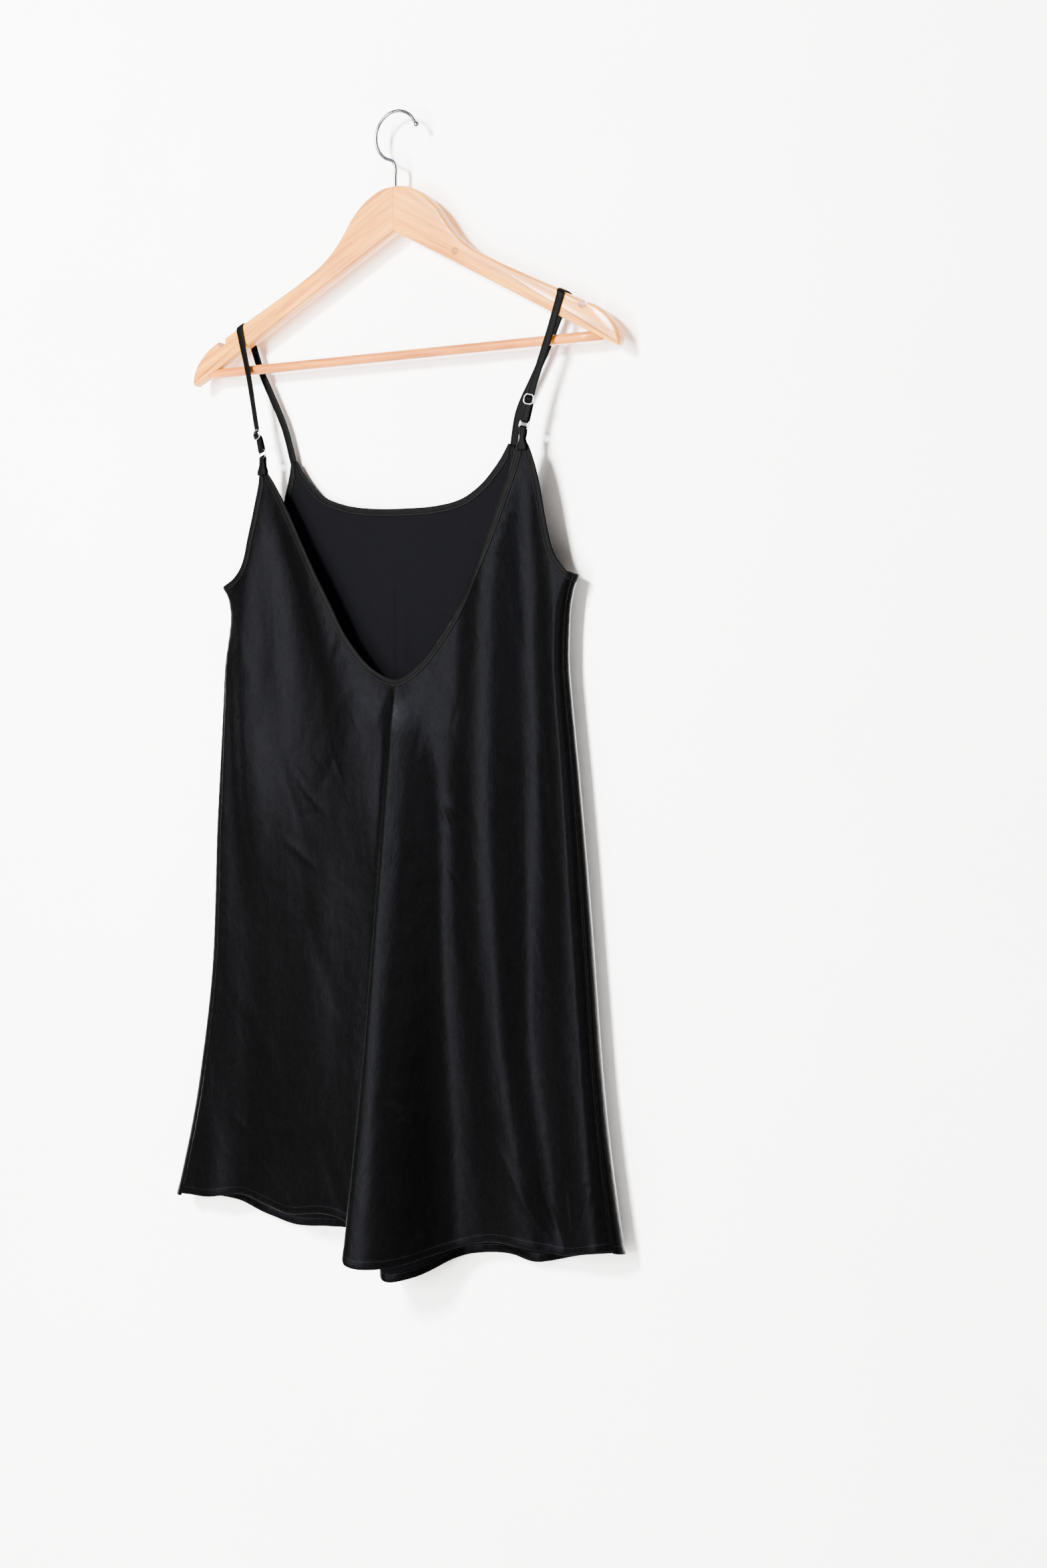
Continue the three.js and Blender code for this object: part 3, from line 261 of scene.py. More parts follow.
# How far the strap's sewn end stands behind the back panel's middle.
BACK_END_OUT = 1.75
ARM_SLOPE = 0.52
BACK_SLANT = 0.45
STRAPS = {
    "left": {
        "side": -1,
        "twist": -18,
        "front_twist": -14,
        "back_end": (-117, -304),
        "back": ((-128.5, 9.0, -264.5), (-141.5, 8.4, -237), (-153.5, 7.6, -212)),
        "arm_back": (-162.6, 6.8, -186),
        "arm_top": (-167.2, 0, -170.3),
        "arm_front": (-166.2, -6.8, -180),
        "front": ((-157, -7.4, -216),),
        "slider": (-146, -8.0, -272),
        "ring": (-141.6, -9.2, -290),
        "point": (-139.8, -305),
        "tab": ((0, 6.8), (0.35, 6.8), (0.6, 7.0), (0.8, 7.8), (1.0, 9.2), (1.3, 9.8)),
    },
    "right": {
        "side": 1,
        "twist": 0,
        "front_twist": 0,
        "back_end": (112, -302),
        "back": ((119, 9.0, -268), (134, 8.4, -240), (148, 7.6, -214)),
        "arm_back": (160, 6.8, -189),
        "arm_top": (168.2, 0, -170.8),
        "arm_front": (165, -6.8, -184),
        "front": ((157, -7.4, -209),),
        "slider": (138.8, -8.0, -261),
        "ring": (133.6, -9.2, -281.5),
        "point": (132.4, -299),
        "tab": ((0, 6.8), (0.35, 6.0), (0.6, 4.4), (0.8, 6.2), (1.0, 9.6), (1.3, 10.6)),
    },
}

# Hanger, in millimetres.

ARM_THICK = 12.0
ARM_EDGE = 2.6
ARM_TOP = (
    (0, -64.6), (11, -65.6), (19.5, -68.6), (29.5, -74.2), (36.8, -80.2), (43.6, -87), (49.6, -95),
    (55.5, -103.4), (62.5, -112), (77, -125), (102, -139.4), (129.5, -153), (163, -169.2), (183, -179.6),
    (195, -184.6), (203, -189), (210.5, -195.2), (216.8, -202.4), (220.8, -210), (222.6, -217.5),
)
ARM_TIP = ((222.2, -220.5), (220.6, -221.9))
ARM_UNDERSIDE = ((209.9, -216.6), (160.5, -190.2), (104.7, -160), (0, -103.8))
NOTCH = {"x": 188.6, "z": -184.6, "radius": 4.4}
MITRE_GAP = 0.12
# A small knot on the right arm's face, in metres on the wood's cut map.
KNOT = {"place": (1.0155, -0.0886), "reach": 0.0062}
BAR = {"radius": 4.3, "height": -211.6, "reach": 205.0, "let_in": 30, "play": 0.3}
HOOK = {"wire": 3.0, "radius": 20.0, "shift": -1.2, "end": -88.0, "tip": 5.0}

# How far the creases keep from a side seam, and the seam's own dip and pucker.
SEAM_QUIET = 14
SEAM_DIP = {"depth": 0.7, "width": 1.6}
SEAM_PUCKER = {"height": 0.16, "width": 6, "pitch": 1.9, "sway": 23}
# The level below which the cloth wavers, and the height over which that sets in.
WAVERING_FROM = -330
WAVERING_FADE = 60


def column(rows, name, key="z"):
    """A smooth function through one column of a table whose key column rises or falls."""
    at, value = rows[key], rows[name]
    last = len(at) - 1
    before, after = np.maximum(np.arange(last + 1) - 1, 0), np.minimum(np.arange(last + 1) + 1, last)
    slope = (value[after] - value[before]) / (at[after] - at[before])
    if at[0] > at[-1]:
        at, value, slope = at[::-1], value[::-1], slope[::-1]

    def read(t):
        t = np.clip(t, at[0], at[-1])
        i = np.clip(np.searchsorted(at, t, side="right") - 1, 0, last - 1)
        span = at[i + 1] - at[i]
        u = (t - at[i]) / span
        return (
            value[i] * (2 * u**3 - 3 * u**2 + 1)
            + slope[i] * span * (u**3 - 2 * u**2 + u)
            + value[i + 1] * (3 * u**2 - 2 * u**3)
            + slope[i + 1] * span * (u**3 - u**2)
        )

    return read


def fold_of(rows):
    """A smooth crest that fades to nothing at its reach on each side."""
    crest, left, right = (column(rows, name) for name in ("x", "left", "right"))
    depth, lean = column(rows, "depth"), column(rows, "lean")
    top, bottom = rows["z"][0], rows["z"][-1]
    starts_flat, ends_flat = rows["depth"][0] == 0, rows["depth"][-1] == 0

    def bump(x, z):
        offset = x - crest(z)
        reach = np.where(offset < 0, left(z), right(z))
        height = (1 + np.cos(np.pi * np.minimum(np.abs(offset) / reach, 1))) / 2
        if starts_flat:
            height = np.where(z > top, 0, height)
        if ends_flat:
            height = np.where(z < bottom, 0, height)
        return depth(z) * height, lean(z) * height

    return bump


def pleat_of(rows):
    """A fold with a crisp left edge: the cloth right of its line laps over the cloth left of it."""
    line, left, right = (column(rows, name) for name in ("x", "left", "right"))
    height, step = column(rows, "height"), column(rows, "step")

    def eased(share):
        share = np.clip(share, 0, 1)
        return share * share * (3 - 2 * share)

    def relief(x, z):
        offset, below = x - line(z), rows["z"][0] - z
        rise, edge = height(z) * eased(below / PLEAT_RISE), step(z) * eased(below / PLEAT_START)
        lapped = rise * (1 - np.clip(offset / right(z), 0, 1)) ** 2
        under = (rise - edge) * eased(1 + offset / left(z)) + edge * eased(1 + offset / PLEAT_EDGE)
        return np.where(offset > 0, lapped, under)

    return relief


def creases_of(rows):
    """Soft troughs and ridges along short lines, strongest in the middle of each."""

    def relief(x, z):
        total = np.zeros(np.broadcast(x, z).shape)
        for x0, z0, x1, z1, width, depth in zip(*(rows[name] for name in CREASE.split())):
            length2 = (x1 - x0) ** 2 + (z1 - z0) ** 2
            t = ((x - x0) * (x1 - x0) + (z - z0) * (z1 - z0)) / length2
            inside = np.clip(t, 0, 1)
            away = np.hypot(x - x0 - inside * (x1 - x0), z - z0 - inside * (z1 - z0))
            fade = np.sin(np.pi * np.clip(0.12 + 0.76 * inside, 0, 1))
            total += depth * fade * np.exp(-((away / width) ** 2))
        return total

    return relief


def both_tables(first, second):
    return {name: np.concatenate([first[name], second[name]]) for name in first}


def gathers(outline, inward, seed, every, longest):
    """Small puckers that run into the cloth from a bound edge, as rows of creases."""
    rng = np.random.default_rng(seed)
    line = spaced(smooth_line(outline), every)
    along = unit(np.gradient(line, axis=0))
    into = np.stack([along[:, 1], -along[:, 0]], -1) * inward
    rows = []
    for place, way, side in zip(line[2:-2], into[2:-2], along[2:-2]):
        start = place + way * 6.8
        end = start + (way + rng.normal(0, 0.45) * side) * rng.uniform(0.25, 1) * longest
        rows.append((*start, *end, rng.uniform(1.4, 3.0), rng.uniform(-0.3, 0.26)))
    return table(CREASE, *rows)


def wavering(seed, count=16):
    """Slow unevenness of hanging satin, as waves that mostly run down the cloth."""
    rng = np.random.default_rng(seed)
    length = rng.uniform(34, 110, count)
    lean = rng.normal(0, 0.35, count)
    phase = rng.uniform(0, 2 * np.pi, count)
    height = length * 0.0016

    def relief(x, z):
        across = x[..., None] * np.cos(lean) + 0.42 * z[..., None] * np.sin(lean)
        return (height * np.sin(2 * np.pi * across / length + phase)).sum(-1)

    return relief


class Panel:
    """One panel of the dress, from its flat cut to space."""

    def __init__(self, face, folds, fine, hem, creases, seed, pleat=None):
        self.face = face
        self.fine = [fold_of(rows) for rows in fine.values()]
        self.pleat = pleat_of(pleat) if pleat else None
        self.line = column(pleat or folds["centre_fold"], "x")
        self.bumps = [fold_of(rows) for rows in folds.values()]
        self.hem = column(hem, "z", "x")
        self.creases = creases_of(creases)
        self.waver = wavering(seed)
        self.left, self.right, self.round = (column(TUBE, n) for n in ("left", "right", "round"))
        self.turn = {-1: column(TUBE, "left_turn"), 1: column(TUBE, "right_turn")}

    def seam(self, side, z):
        """The flat x of a side seam at a height."""
        end = self.left(z) + self.round(z) if side < 0 else self.right(z) - self.round(z)
        angle = np.radians(90 + self.face * self.turn[side](z))
        return end + side * self.round(z) * angle

    def reach(self, way, z):
        """The cloth from the centre fold to the seam on the left, where way is negative, or right."""
        return np.where(way < 0, self.line(z) - self.seam(-1, z), self.seam(1, z) - self.line(z))

    def share_at(self, x, z):
        """A place across the panel: -1 at the left seam, 0 on the centre fold, 1 at the right."""
        offset = x - self.line(z)
        return offset / self.reach(offset, z)

    def x_at(self, share, z):
        return self.line(z) + share * self.reach(share, z)

    def base(self, x, z):
        """The folded surface without its small creases."""
        radius = self.round(z)
        flat_left, flat_right = self.left(z) + radius, self.right(z) - radius
        turned = np.maximum(np.maximum(flat_left - x, x - flat_right), 0) / radius
        nearest = np.clip(x, flat_left, flat_right)
        px = nearest + np.sign(x - nearest) * radius * np.sin(turned)
        py = self.face * radius * np.cos(turned)
        flatness = np.maximum(0, 1 - turned)
        for bump in self.bumps:
            forward, left = bump(x, z)
            py = py - forward * flatness
            px = px - left * flatness
        fall = np.clip((DROP_START - z) / (DROP_START - HEM_LEVEL), 0, 1)
        pz = z + (self.hem(x) - HEM_LEVEL) * fall * fall * (3 - 2 * fall)
        return np.stack([px, py, pz], -1)

    def outward(self, x, z, step=0.6):
        """The unit direction out of the dress."""
        across = self.base(x + step, z) - self.base(x - step, z)
        down = self.base(x, z - step) - self.base(x, z + step)
        normal = self.face * np.cross(across, down)
        return normal / np.linalg.norm(normal, axis=-1, keepdims=True)

    def relief(self, x, z):
        """Creases, wavering and the dip along each side seam."""
        ends = np.minimum(x - self.seam(-1, z), self.seam(1, z) - x)
        quiet = np.clip(ends / SEAM_QUIET, 0, 1)
        dip = -SEAM_DIP["depth"] * np.exp(-((np.maximum(ends, 0) / SEAM_DIP["width"]) ** 2))
        pucker = SEAM_PUCKER["height"] * np.exp(-((np.maximum(ends, 0) / SEAM_PUCKER["width"]) ** 2))
        pucker = pucker * np.sin(z / SEAM_PUCKER["pitch"] + 2 * np.sin(z / SEAM_PUCKER["sway"]))
        below_edge = np.clip((WAVERING_FROM - z) / WAVERING_FADE, 0, 1)
        total = self.creases(x, z) * quiet + self.waver(x, z) * quiet * below_edge + dip + pucker
        total = total - self.face * sum(bump(x, z)[0] for bump in self.fine) * quiet
        return total + self.pleat(x, z) if self.pleat else total

    def at(self, x, z, lift=0.0):
        """The finished surface, moved out by lift."""
        x, z = np.broadcast_arrays(np.asarray(x, float), np.asarray(z, float))
        return self.base(x, z) + self.outward(x, z) * (self.relief(x, z) + lift)[..., None]


# Curves.


def smooth_line(points, per=10):
    """A centripetal spline through points, as a dense line."""
    p = np.array(points, float)
    p = np.vstack([2 * p[0] - p[1], p, 2 * p[-1] - p[-2]])
    line = []
    for p0, p1, p2, p3 in zip(p, p[1:], p[2:], p[3:]):
        d0, d1, d2 = (max(np.linalg.norm(b - a), 1e-9) ** 0.5 for a, b in ((p0, p1), (p1, p2), (p2, p3)))
        t1 = ((p1 - p0) / d0 - (p2 - p0) / (d0 + d1) + (p2 - p1) / d1) * d1
        t2 = ((p2 - p1) / d1 - (p3 - p1) / (d1 + d2) + (p3 - p2) / d2) * d1
        u = np.linspace(0, 1, per, endpoint=False)[:, None]
        line.append(
            p1 * (2 * u**3 - 3 * u**2 + 1)
            + t1 * (u**3 - 2 * u**2 + u)
            + p2 * (3 * u**2 - 2 * u**3)
            + t2 * (u**3 - u**2)
        )
    return np.vstack([*line, p[-2][None]])


def length_along(line):
    return np.concatenate([[0], np.cumsum(np.linalg.norm(np.diff(line, axis=0), axis=1))])


def spaced(line, spacing=None, count=None):
    """The same line with evenly spaced points."""
    along = length_along(line)
    steps = count or max(2, round(along[-1] / spacing))
    at = np.linspace(0, along[-1], steps + 1)
    return np.stack([np.interp(at, along, line[:, k]) for k in range(line.shape[1])], -1)


def unit(v):
    return v / np.linalg.norm(v, axis=-1, keepdims=True)


def ripple(count, seed, step):
    """Smooth seeded unevenness between about -1 and 1, with a new value every few places."""
    rng = np.random.default_rng(seed)
    knots = rng.uniform(-1, 1, count // step + 3)
    at = np.arange(count) / step
    i = at.astype(int)
    u = at - i
    u = u * u * (3 - 2 * u)
    return knots[i] * (1 - u) + knots[i + 1] * u


FRONT_RELIEF = both_tables(FRONT_CREASES, gathers(FRONT_NECK, 1, 71, 5.2, 20))
BACK_RELIEF = both_tables(BACK_CREASES, gathers(BACK_NECK, 1, 73, 9.0, 16))
FRONT = Panel(-1, FRONT_FOLDS, FRONT_FINE, FRONT_HEM, FRONT_RELIEF, seed=11, pleat=FRONT_PLEAT)
BACK = Panel(1, BACK_FOLDS, BACK_FINE, BACK_HEM, BACK_RELIEF, seed=23)


# Meshes.


def new_piece(name, points, faces, materials, flat=None, which=None, smooth=True):
    """A piece in metres from points in millimetres. flat gives each point's place on its cut."""
    mesh = bpy.data.meshes.new(name)
    mesh.from_pydata((np.asarray(points) * MM).tolist(), [], [list(f) for f in faces])
    for material in materials:
        mesh.materials.append(material)
    if which is not None:
        mesh.polygons.foreach_set("material_index", np.asarray(which, np.int32))
    if flat is not None:
        layer = mesh.uv_layers.new(name="cut")
        corner = np.zeros(len(mesh.loops), np.int32)
        mesh.loops.foreach_get("vertex_index", corner)
        layer.data.foreach_set("uv", (np.asarray(flat, float)[corner] * MM).ravel())
    mesh.polygons.foreach_set("use_smooth", np.full(len(mesh.polygons), smooth))
    mesh.validate()
    mesh.update()
    piece = bpy.data.objects.new(name, mesh)
    bpy.context.scene.collection.objects.link(piece)
    return piece


def seat(piece, slot, *nodes):
    """The piece rides on the one body and stands for its CAD nodes, which it hides. Its slot is not used.
    """
    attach(piece, "root")
    if nodes:
        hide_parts(*nodes)
    return piece


def tube_faces(rings, sides, closed=False):
    """Faces of a tube of rings, closed to a loop or with its two end caps."""
    faces = []
    for i in range(rings if closed else rings - 1):
        n = (i + 1) % rings
        for j in range(sides):
            k = (j + 1) % sides
            faces.append((i * sides + j, i * sides + k, n * sides + k, n * sides + j))
    if not closed:
        faces += [tuple(reversed(range(sides))), tuple(range((rings - 1) * sides, rings * sides))]
    return faces


def settled(piece, mesh):
    """The piece with what its modifiers make as its plain mesh, and its first mesh removed."""
    graph = bpy.context.evaluated_depsgraph_get()
    finished = bpy.data.meshes.new_from_object(piece.evaluated_get(graph))
    piece.modifiers.clear()
    piece.data = finished
    bpy.data.meshes.remove(mesh)
    return piece


def faces_outward(piece):
    """Turns every face of a closed piece outwards."""
    b = bmesh.new()
    b.from_mesh(piece.data)
    bmesh.ops.recalc_face_normals(b, faces=b.faces)
    b.to_mesh(piece.data)
    b.free()
    piece.data.update()
    return piece


def grid_faces(rows, columns, start=0, flip=False):
    """Four-sided faces of a grid of points."""
    faces = []
    for i in range(rows - 1):
        for j in range(columns - 1):
            a = start + i * columns + j
            face = (a, a + columns, a + columns + 1, a + 1)
            faces.append(face[::-1] if flip else face)
    return faces


# Cut edges.

BINDING_GAP = 0.3
STATION = 1.9


class Edge:
    """A cut edge as evenly spaced places on the flat cut, each with its way into the cloth."""

    def __init__(self, panel, outline, inward, seam_end=None, spacing=STATION):
        self.panel = panel
        line = spaced(smooth_line(outline), spacing)
        along = unit(np.gradient(line, axis=0))
        into = np.stack([along[:, 1], -along[:, 0]], -1) * inward
        if seam_end:
            left = length_along(line)
            near = np.clip(1 - (left[-1] - left) / seam_end, 0, 1)[:, None]
            into = unit(into * (1 - near) + np.array([0, -1.0]) * near)
        self.line, self.into = line, into
        self.width = np.zeros(len(line))

    def fit(self, widest, other):
        """Narrows the binding where two cut edges run together."""
        apart = np.linalg.norm(self.line[:, None] - other[None], axis=-1).min(1)
        self.width = np.minimum(widest, (apart - BINDING_GAP) / 2)

    def offset(self, distance):
        """The places moved into the cloth."""
        return self.line + self.into * np.asarray(distance)[:, None]

    def points(self, distance, lift):
        place = self.offset(distance)
        return self.panel.at(place[:, 0], place[:, 1], lift)


def cut_edges(panel, neck, armholes, binding):
    edges = {0: Edge(panel, neck, 1)}
    level = TUBE["z"][0]
    for side in (-1, 1):
        outline = [*armholes[side], (float(panel.seam(side, level)), level - 0.6)]
        edges[side] = Edge(panel, outline, side, seam_end=28)
    edges[0].fit(binding, np.vstack([edges[-1].line, edges[1].line]))
    for side in (-1, 1):
        edges[side].fit(binding, edges[0].line)
    return edges


# Section of a bias binding: share of its width from the fold, then how far it stands out in mm.
# It is folded round the raw edge and stitched down near its inner edge.
BINDING_SECTION = (
    (1.0, 0.2), (0.99, 0.5), (0.95, 0.66), (0.86, 0.6), (0.78, 0.56), (0.7, 0.72), (0.52, 0.86),
    (0.32, 0.9), (0.14, 0.82), (0.02, 0.55), (-0.03, 0.2),
)
HEM_SECTION = (
    (1.0, 0.17), (0.96, 0.24), (0.88, 0.22), (0.8, 0.3), (0.4, 0.36), (0.06, 0.36), (-0.03, 0.16),
)
# Share of a band's width at which it is stitched, and how far its thread stands from the cloth.
SEAM_STITCH = 0.82
BINDING_LIFT = 0.66
HEM_LIFT = 0.33
BINDING_UNEVEN = 0.16
HEM_UNEVEN = 0.3
PANEL_GRID = (224, 188)


def edge_band(name, runs, section, materials, unevenness, seed):
    """A band folded round a cut edge. runs are its edges in order, each with its way along."""
    rings, flats = [], []
    for edge, backwards in runs:
        count = len(edge.line)
        puckers = 1 + unevenness * ripple(count, seed, 2) + 0.6 * unevenness * ripple(count, seed + 1, 5)
        ring, flat = [], []
        for share, lift in [*section, *((s, -t) for s, t in reversed(section))]:
            distance = share * edge.width
            ring.append(edge.points(distance, lift * puckers))
            flat.append(edge.offset(distance))
        ring, flat = np.stack(ring, 1), np.stack(flat, 1)
        rings.append(ring[::-1] if backwards else ring)
        flats.append(flat[::-1] if backwards else flat)
    if len(rings) > 1:
        rings[0], flats[0] = rings[0][:-1], flats[0][:-1]
    ring, flat = np.concatenate(rings), np.concatenate(flats)
    sides = ring.shape[1]
    faces = tube_faces(len(ring), sides)
    piece = new_piece(name, ring.reshape(-1, 3), faces, materials, flat.reshape(-1, 2))
    return faces_outward(piece)


def panel_piece(name, panel, edges, cloth, materials, columns, rows):
    """A panel of satin as a thin shell, bright side out and dull side in."""
    inset = [edges[k].offset(np.full(len(edges[k].line), 0.6)) for k in (-1, 0, 1)]
    line = np.vstack([inset[0][::-1], inset[1], inset[2]])
    weight = np.abs(np.diff(line[:, 0])) + 0.35 * np.diff(length_along(line))
    at = np.concatenate([[0], np.cumsum(weight)])
    even = np.linspace(0, at[-1], columns + 1)
    line = np.stack([np.interp(even, at, line[:, k]) for k in (0, 1)], -1)
    share = np.maximum.accumulate(panel.share_at(line[:, 0], line[:, 1]))
    share[0], share[-1] = -1, 1
    down = np.linspace(0, 1, rows + 1)[:, None]
    z = line[:, 1] + (HEM_LEVEL + 0.7 - line[:, 1]) * down
    x = panel.x_at(share, z)
    flat = np.stack([x, z], -1).reshape(-1, 2)
    outer, inner = panel.at(x, z, cloth / 2), panel.at(x, z, -cloth / 2)
    wide = columns + 1
    count = (rows + 1) * wide
    flip = panel.face < 0
    faces = grid_faces(rows + 1, wide, 0, not flip) + grid_faces(rows + 1, wide, count, flip)
    top = [*range(wide)]
    right = [i * wide + columns for i in range(rows + 1)]
    bottom = [rows * wide + j for j in range(wide)][::-1]
    left = [i * wide for i in range(rows + 1)][::-1]
    loop = top[:-1] + right[:-1] + bottom[:-1] + left[:-1]
    rim = [(a, b, b + count, a + count) for a, b in zip(loop, loop[1:] + loop[:1])]
    which = [0] * (rows * columns) + [1] * (rows * columns) + [0] * len(rim)
    points = np.concatenate([outer.reshape(-1, 3), inner.reshape(-1, 3)])
    piece = new_piece(name, points, faces + rim, materials, np.concatenate([flat, flat]), which)
    faces_outward(piece)
    middle = panel.at(x, z)
    piece["hem_length"] = float(length_along(middle[-1])[-1] * MM)
    piece["deepest"] = float(max(length_along(middle[:, k])[-1] for k in range(0, wide, 6)) * MM)
    a, b = middle[1:, :-1] - middle[:-1, :-1], middle[:-1, 1:] - middle[:-1, :-1]
    piece["cloth_area"] = float(np.linalg.norm(np.cross(a, b), axis=-1).sum() * MM * MM)
    return piece


# Stitches, by geometry nodes.


def stitch_tree():
    """A row of thread stitches along each edge of a mesh of lines."""
    tree = bpy.data.node_groups.new("thread_stitches", "GeometryNodeTree")
    sockets = {}
    floats = ("Pitch", "Stitch Length", "Thread Radius")
    kinds = (("Geometry", "Geometry"), *((name, "Float") for name in floats), ("Thread", "Material"))
    for name, kind in kinds:
        socket = tree.interface.new_socket(name, in_out="INPUT", socket_type="NodeSocket" + kind)
        sockets[name] = socket.identifier
    tree.interface.new_socket("Geometry", in_out="OUTPUT", socket_type="NodeSocketGeometry")
    given = add(tree, "NodeGroupInput").outputs

    def made(kind, inputs, **settings):
        return add(tree, kind, inputs, **settings).outputs[0]

    line = made("GeometryNodeMeshToCurve", {"Mesh": given["Geometry"]})
    places = made("GeometryNodeResampleCurve", {"Curve": line, "Length": given["Pitch"]}, mode="LENGTH")
    unit_thread = {"Vertices": 6, "Side Segments": 3, "Radius": 1.0, "Depth": 1.0}
    thread = made("GeometryNodeMeshCylinder", unit_thread, fill_type="NGON")
    radius, length = given["Thread Radius"], given["Stitch Length"]
    size = made("ShaderNodeCombineXYZ", {"X": radius, "Y": radius, "Z": length})
    tangent = made("GeometryNodeInputTangent", {})
    turn = made("FunctionNodeAlignRotationToVector", {"Vector": tangent}, axis="Z")
    one_at_each = {"Points": places, "Instance": thread, "Rotation": turn, "Scale": size}
    stitches = made("GeometryNodeInstanceOnPoints", one_at_each)
    real = made("GeometryNodeRealizeInstances", {"Geometry": stitches})
    coloured = made("GeometryNodeSetMaterial", {"Geometry": real, "Material": given["Thread"]})
    add(tree, "NodeGroupOutput", {"Geometry": coloured}).is_active_output = True
    return tree, sockets


def stitched(name, lines, pitch, length, radius, thread):
    """Thread stitches along lines of points in millimetres, as one plain mesh."""
    points, links, start = [], [], 0
    for line in lines:
        points.extend((line * MM).tolist())
        links.extend((start + i, start + i + 1) for i in range(len(line) - 1))
        start += len(line)
    mesh = bpy.data.meshes.new(name)
    mesh.from_pydata(points, links, [])
    piece = bpy.data.objects.new(name, mesh)
    bpy.context.scene.collection.objects.link(piece)
    tree, sockets = stitch_tree()
    modifier = piece.modifiers.new("stitches", "NODES")
    modifier.node_group = tree
    for socket, value in {"Pitch": pitch, "Stitch Length": length, "Thread Radius": radius}.items():
        modifier[sockets[socket]] = value * MM
    modifier[sockets["Thread"]] = thread
    if not settled(piece, mesh).data.polygons:
        raise RuntimeError(f"{name} has no stitches")
    return piece


# Materials.


def linear(hex_colour):
    """An sRGB hex colour as linear RGBA."""
    channels = [int(hex_colour[i : i + 2], 16) / 255 for i in (1, 3, 5)]
    return (*(c / 12.92 if c <= 0.04045 else ((c + 0.055) / 1.055) ** 2.4 for c in channels), 1.0)


def add(tree, kind, inputs=None, **settings):
    """A node with its settings, values and links."""
    node = tree.nodes.new(kind)
    for name, value in settings.items():
        setattr(node, name, value)
    for name, value in (inputs or {}).items():
        if isinstance(value, bpy.types.NodeSocket):
            tree.links.new(value, node.inputs[name])
        else:
            node.inputs[name].default_value = value
    return node


def material(name):
    """An empty node material with its shader."""
    made = bpy.data.materials.new(name)
    made.use_nodes = True
    tree = made.node_tree
    tree.nodes.clear()
    shader = add(tree, "ShaderNodeBsdfPrincipled")
    add(tree, "ShaderNodeOutputMaterial", {"Surface": shader.outputs["BSDF"]})
    return made, tree, shader


def shade(colour, factor):
    """A colour made lighter or darker."""
    return (*(min(1.0, c * factor) for c in colour[:3]), 1.0)


def ramp(tree, source, stops):
    """A ramp over a value. Stops are (place, colour) or (place, grey value)."""
    node = add(tree, "ShaderNodeValToRGB", {"Fac": source})
    while len(node.color_ramp.elements) < len(stops):
        node.color_ramp.elements.new(0.5)
    for element, (place, colour) in zip(node.color_ramp.elements, stops):
        element.position = place
        element.color = (*colour[:3], 1.0) if hasattr(colour, "__len__") else (colour,) * 3 + (1.0,)
    return node.outputs["Color"]


def cut_place(tree, turn=0.0, stretch=(1.0, 1.0)):
    """The flat cut in metres, turned and stretched to lie along threads."""
    cut = add(tree, "ShaderNodeUVMap", uv_map="cut").outputs["UV"]
    inputs = {"Vector": cut, "Rotation": (0, 0, math.radians(turn)), "Scale": (*stretch, 1)}
    return add(tree, "ShaderNodeMapping", inputs).outputs["Vector"]


def object_place(tree):
    return add(tree, "ShaderNodeTexCoord").outputs["Object"]


def noise(tree, place, scale, detail=2.0, roughness=0.5, output="Fac"):
    """Cloudy unevenness, with its scale in features a metre."""
    inputs = {"Vector": place, "Scale": scale, "Detail": detail, "Roughness": roughness}
    return add(tree, "ShaderNodeTexNoise", inputs).outputs[output]


def mathed(tree, operation, first, second):
    """Two vectors worked together."""
    return add(tree, "ShaderNodeVectorMath", {0: first, 1: second}, operation=operation).outputs


def put(tree, shader, **inputs):
    """Links or sets a shader's inputs, named with underscores for their spaces."""
    for name, value in inputs.items():
        socket = shader.inputs[name.replace("_", " ")]
        if isinstance(value, bpy.types.NodeSocket):
            tree.links.new(value, socket)
        else:
            socket.default_value = value


def bump(tree, height, depth, strength=1.0, under=None):
    """A bump of a depth in metres."""
    inputs = {"Height": height, "Distance": depth, "Strength": strength}
    if under:
        inputs["Normal"] = under
    return add(tree, "ShaderNodeBump", inputs).outputs["Normal"]


BIAS = 45  # the cloth is cut across the diagonal, so its threads lie at 45 degrees


def satin_face(colour, roughness, shine):
    """Polyester charmeuse, woven: long floats of fine yarn give a soft, streaky shine."""
    made, tree, shader = material("charmeuse_satin_face")
    # Yarns 0.15 mm apart are drawn 0.6 mm apart, as fine as the render can hold.
    floats = noise(tree, cut_place(tree, BIAS, (1, 0.09)), 1600.0, 3.0, 0.6)
    slubs = noise(tree, cut_place(tree, BIAS, (1, 0.16)), 260.0, 3.0, 0.55)
    rumples = noise(tree, cut_place(tree, 0, (1, 0.45)), 26.0, 4.0)
    crinkles = noise(tree, cut_place(tree, 12, (1, 0.55)), 85.0, 3.0)
    normal = bump(tree, rumples, 0.0022, 0.45)
    normal = bump(tree, crinkles, 0.001, 0.55, normal)
    normal = bump(tree, slubs, 0.0002, 0.3, normal)
    normal = bump(tree, floats, 0.00016, 0.8, normal)
    tint = ramp(tree, slubs, ((0.3, colour), (0.75, shade(colour, 1.3))))
    gloss = ramp(tree, floats, ((0.3, roughness + 0.09), (0.7, roughness - 0.07)))
    grain = add(tree, "ShaderNodeTangent", direction_type="UV_MAP", uv_map="cut").outputs["Tangent"]
    put(tree, shader, Base_Color=tint, Roughness=gloss, Normal=normal, Tangent=grain)
    # Light spreads across the floats a little more than along them.
    put(tree, shader, Anisotropic=0.2, Specular_IOR_Level=shine, Specular_Tint=linear("#e6e8ff"))
    return made


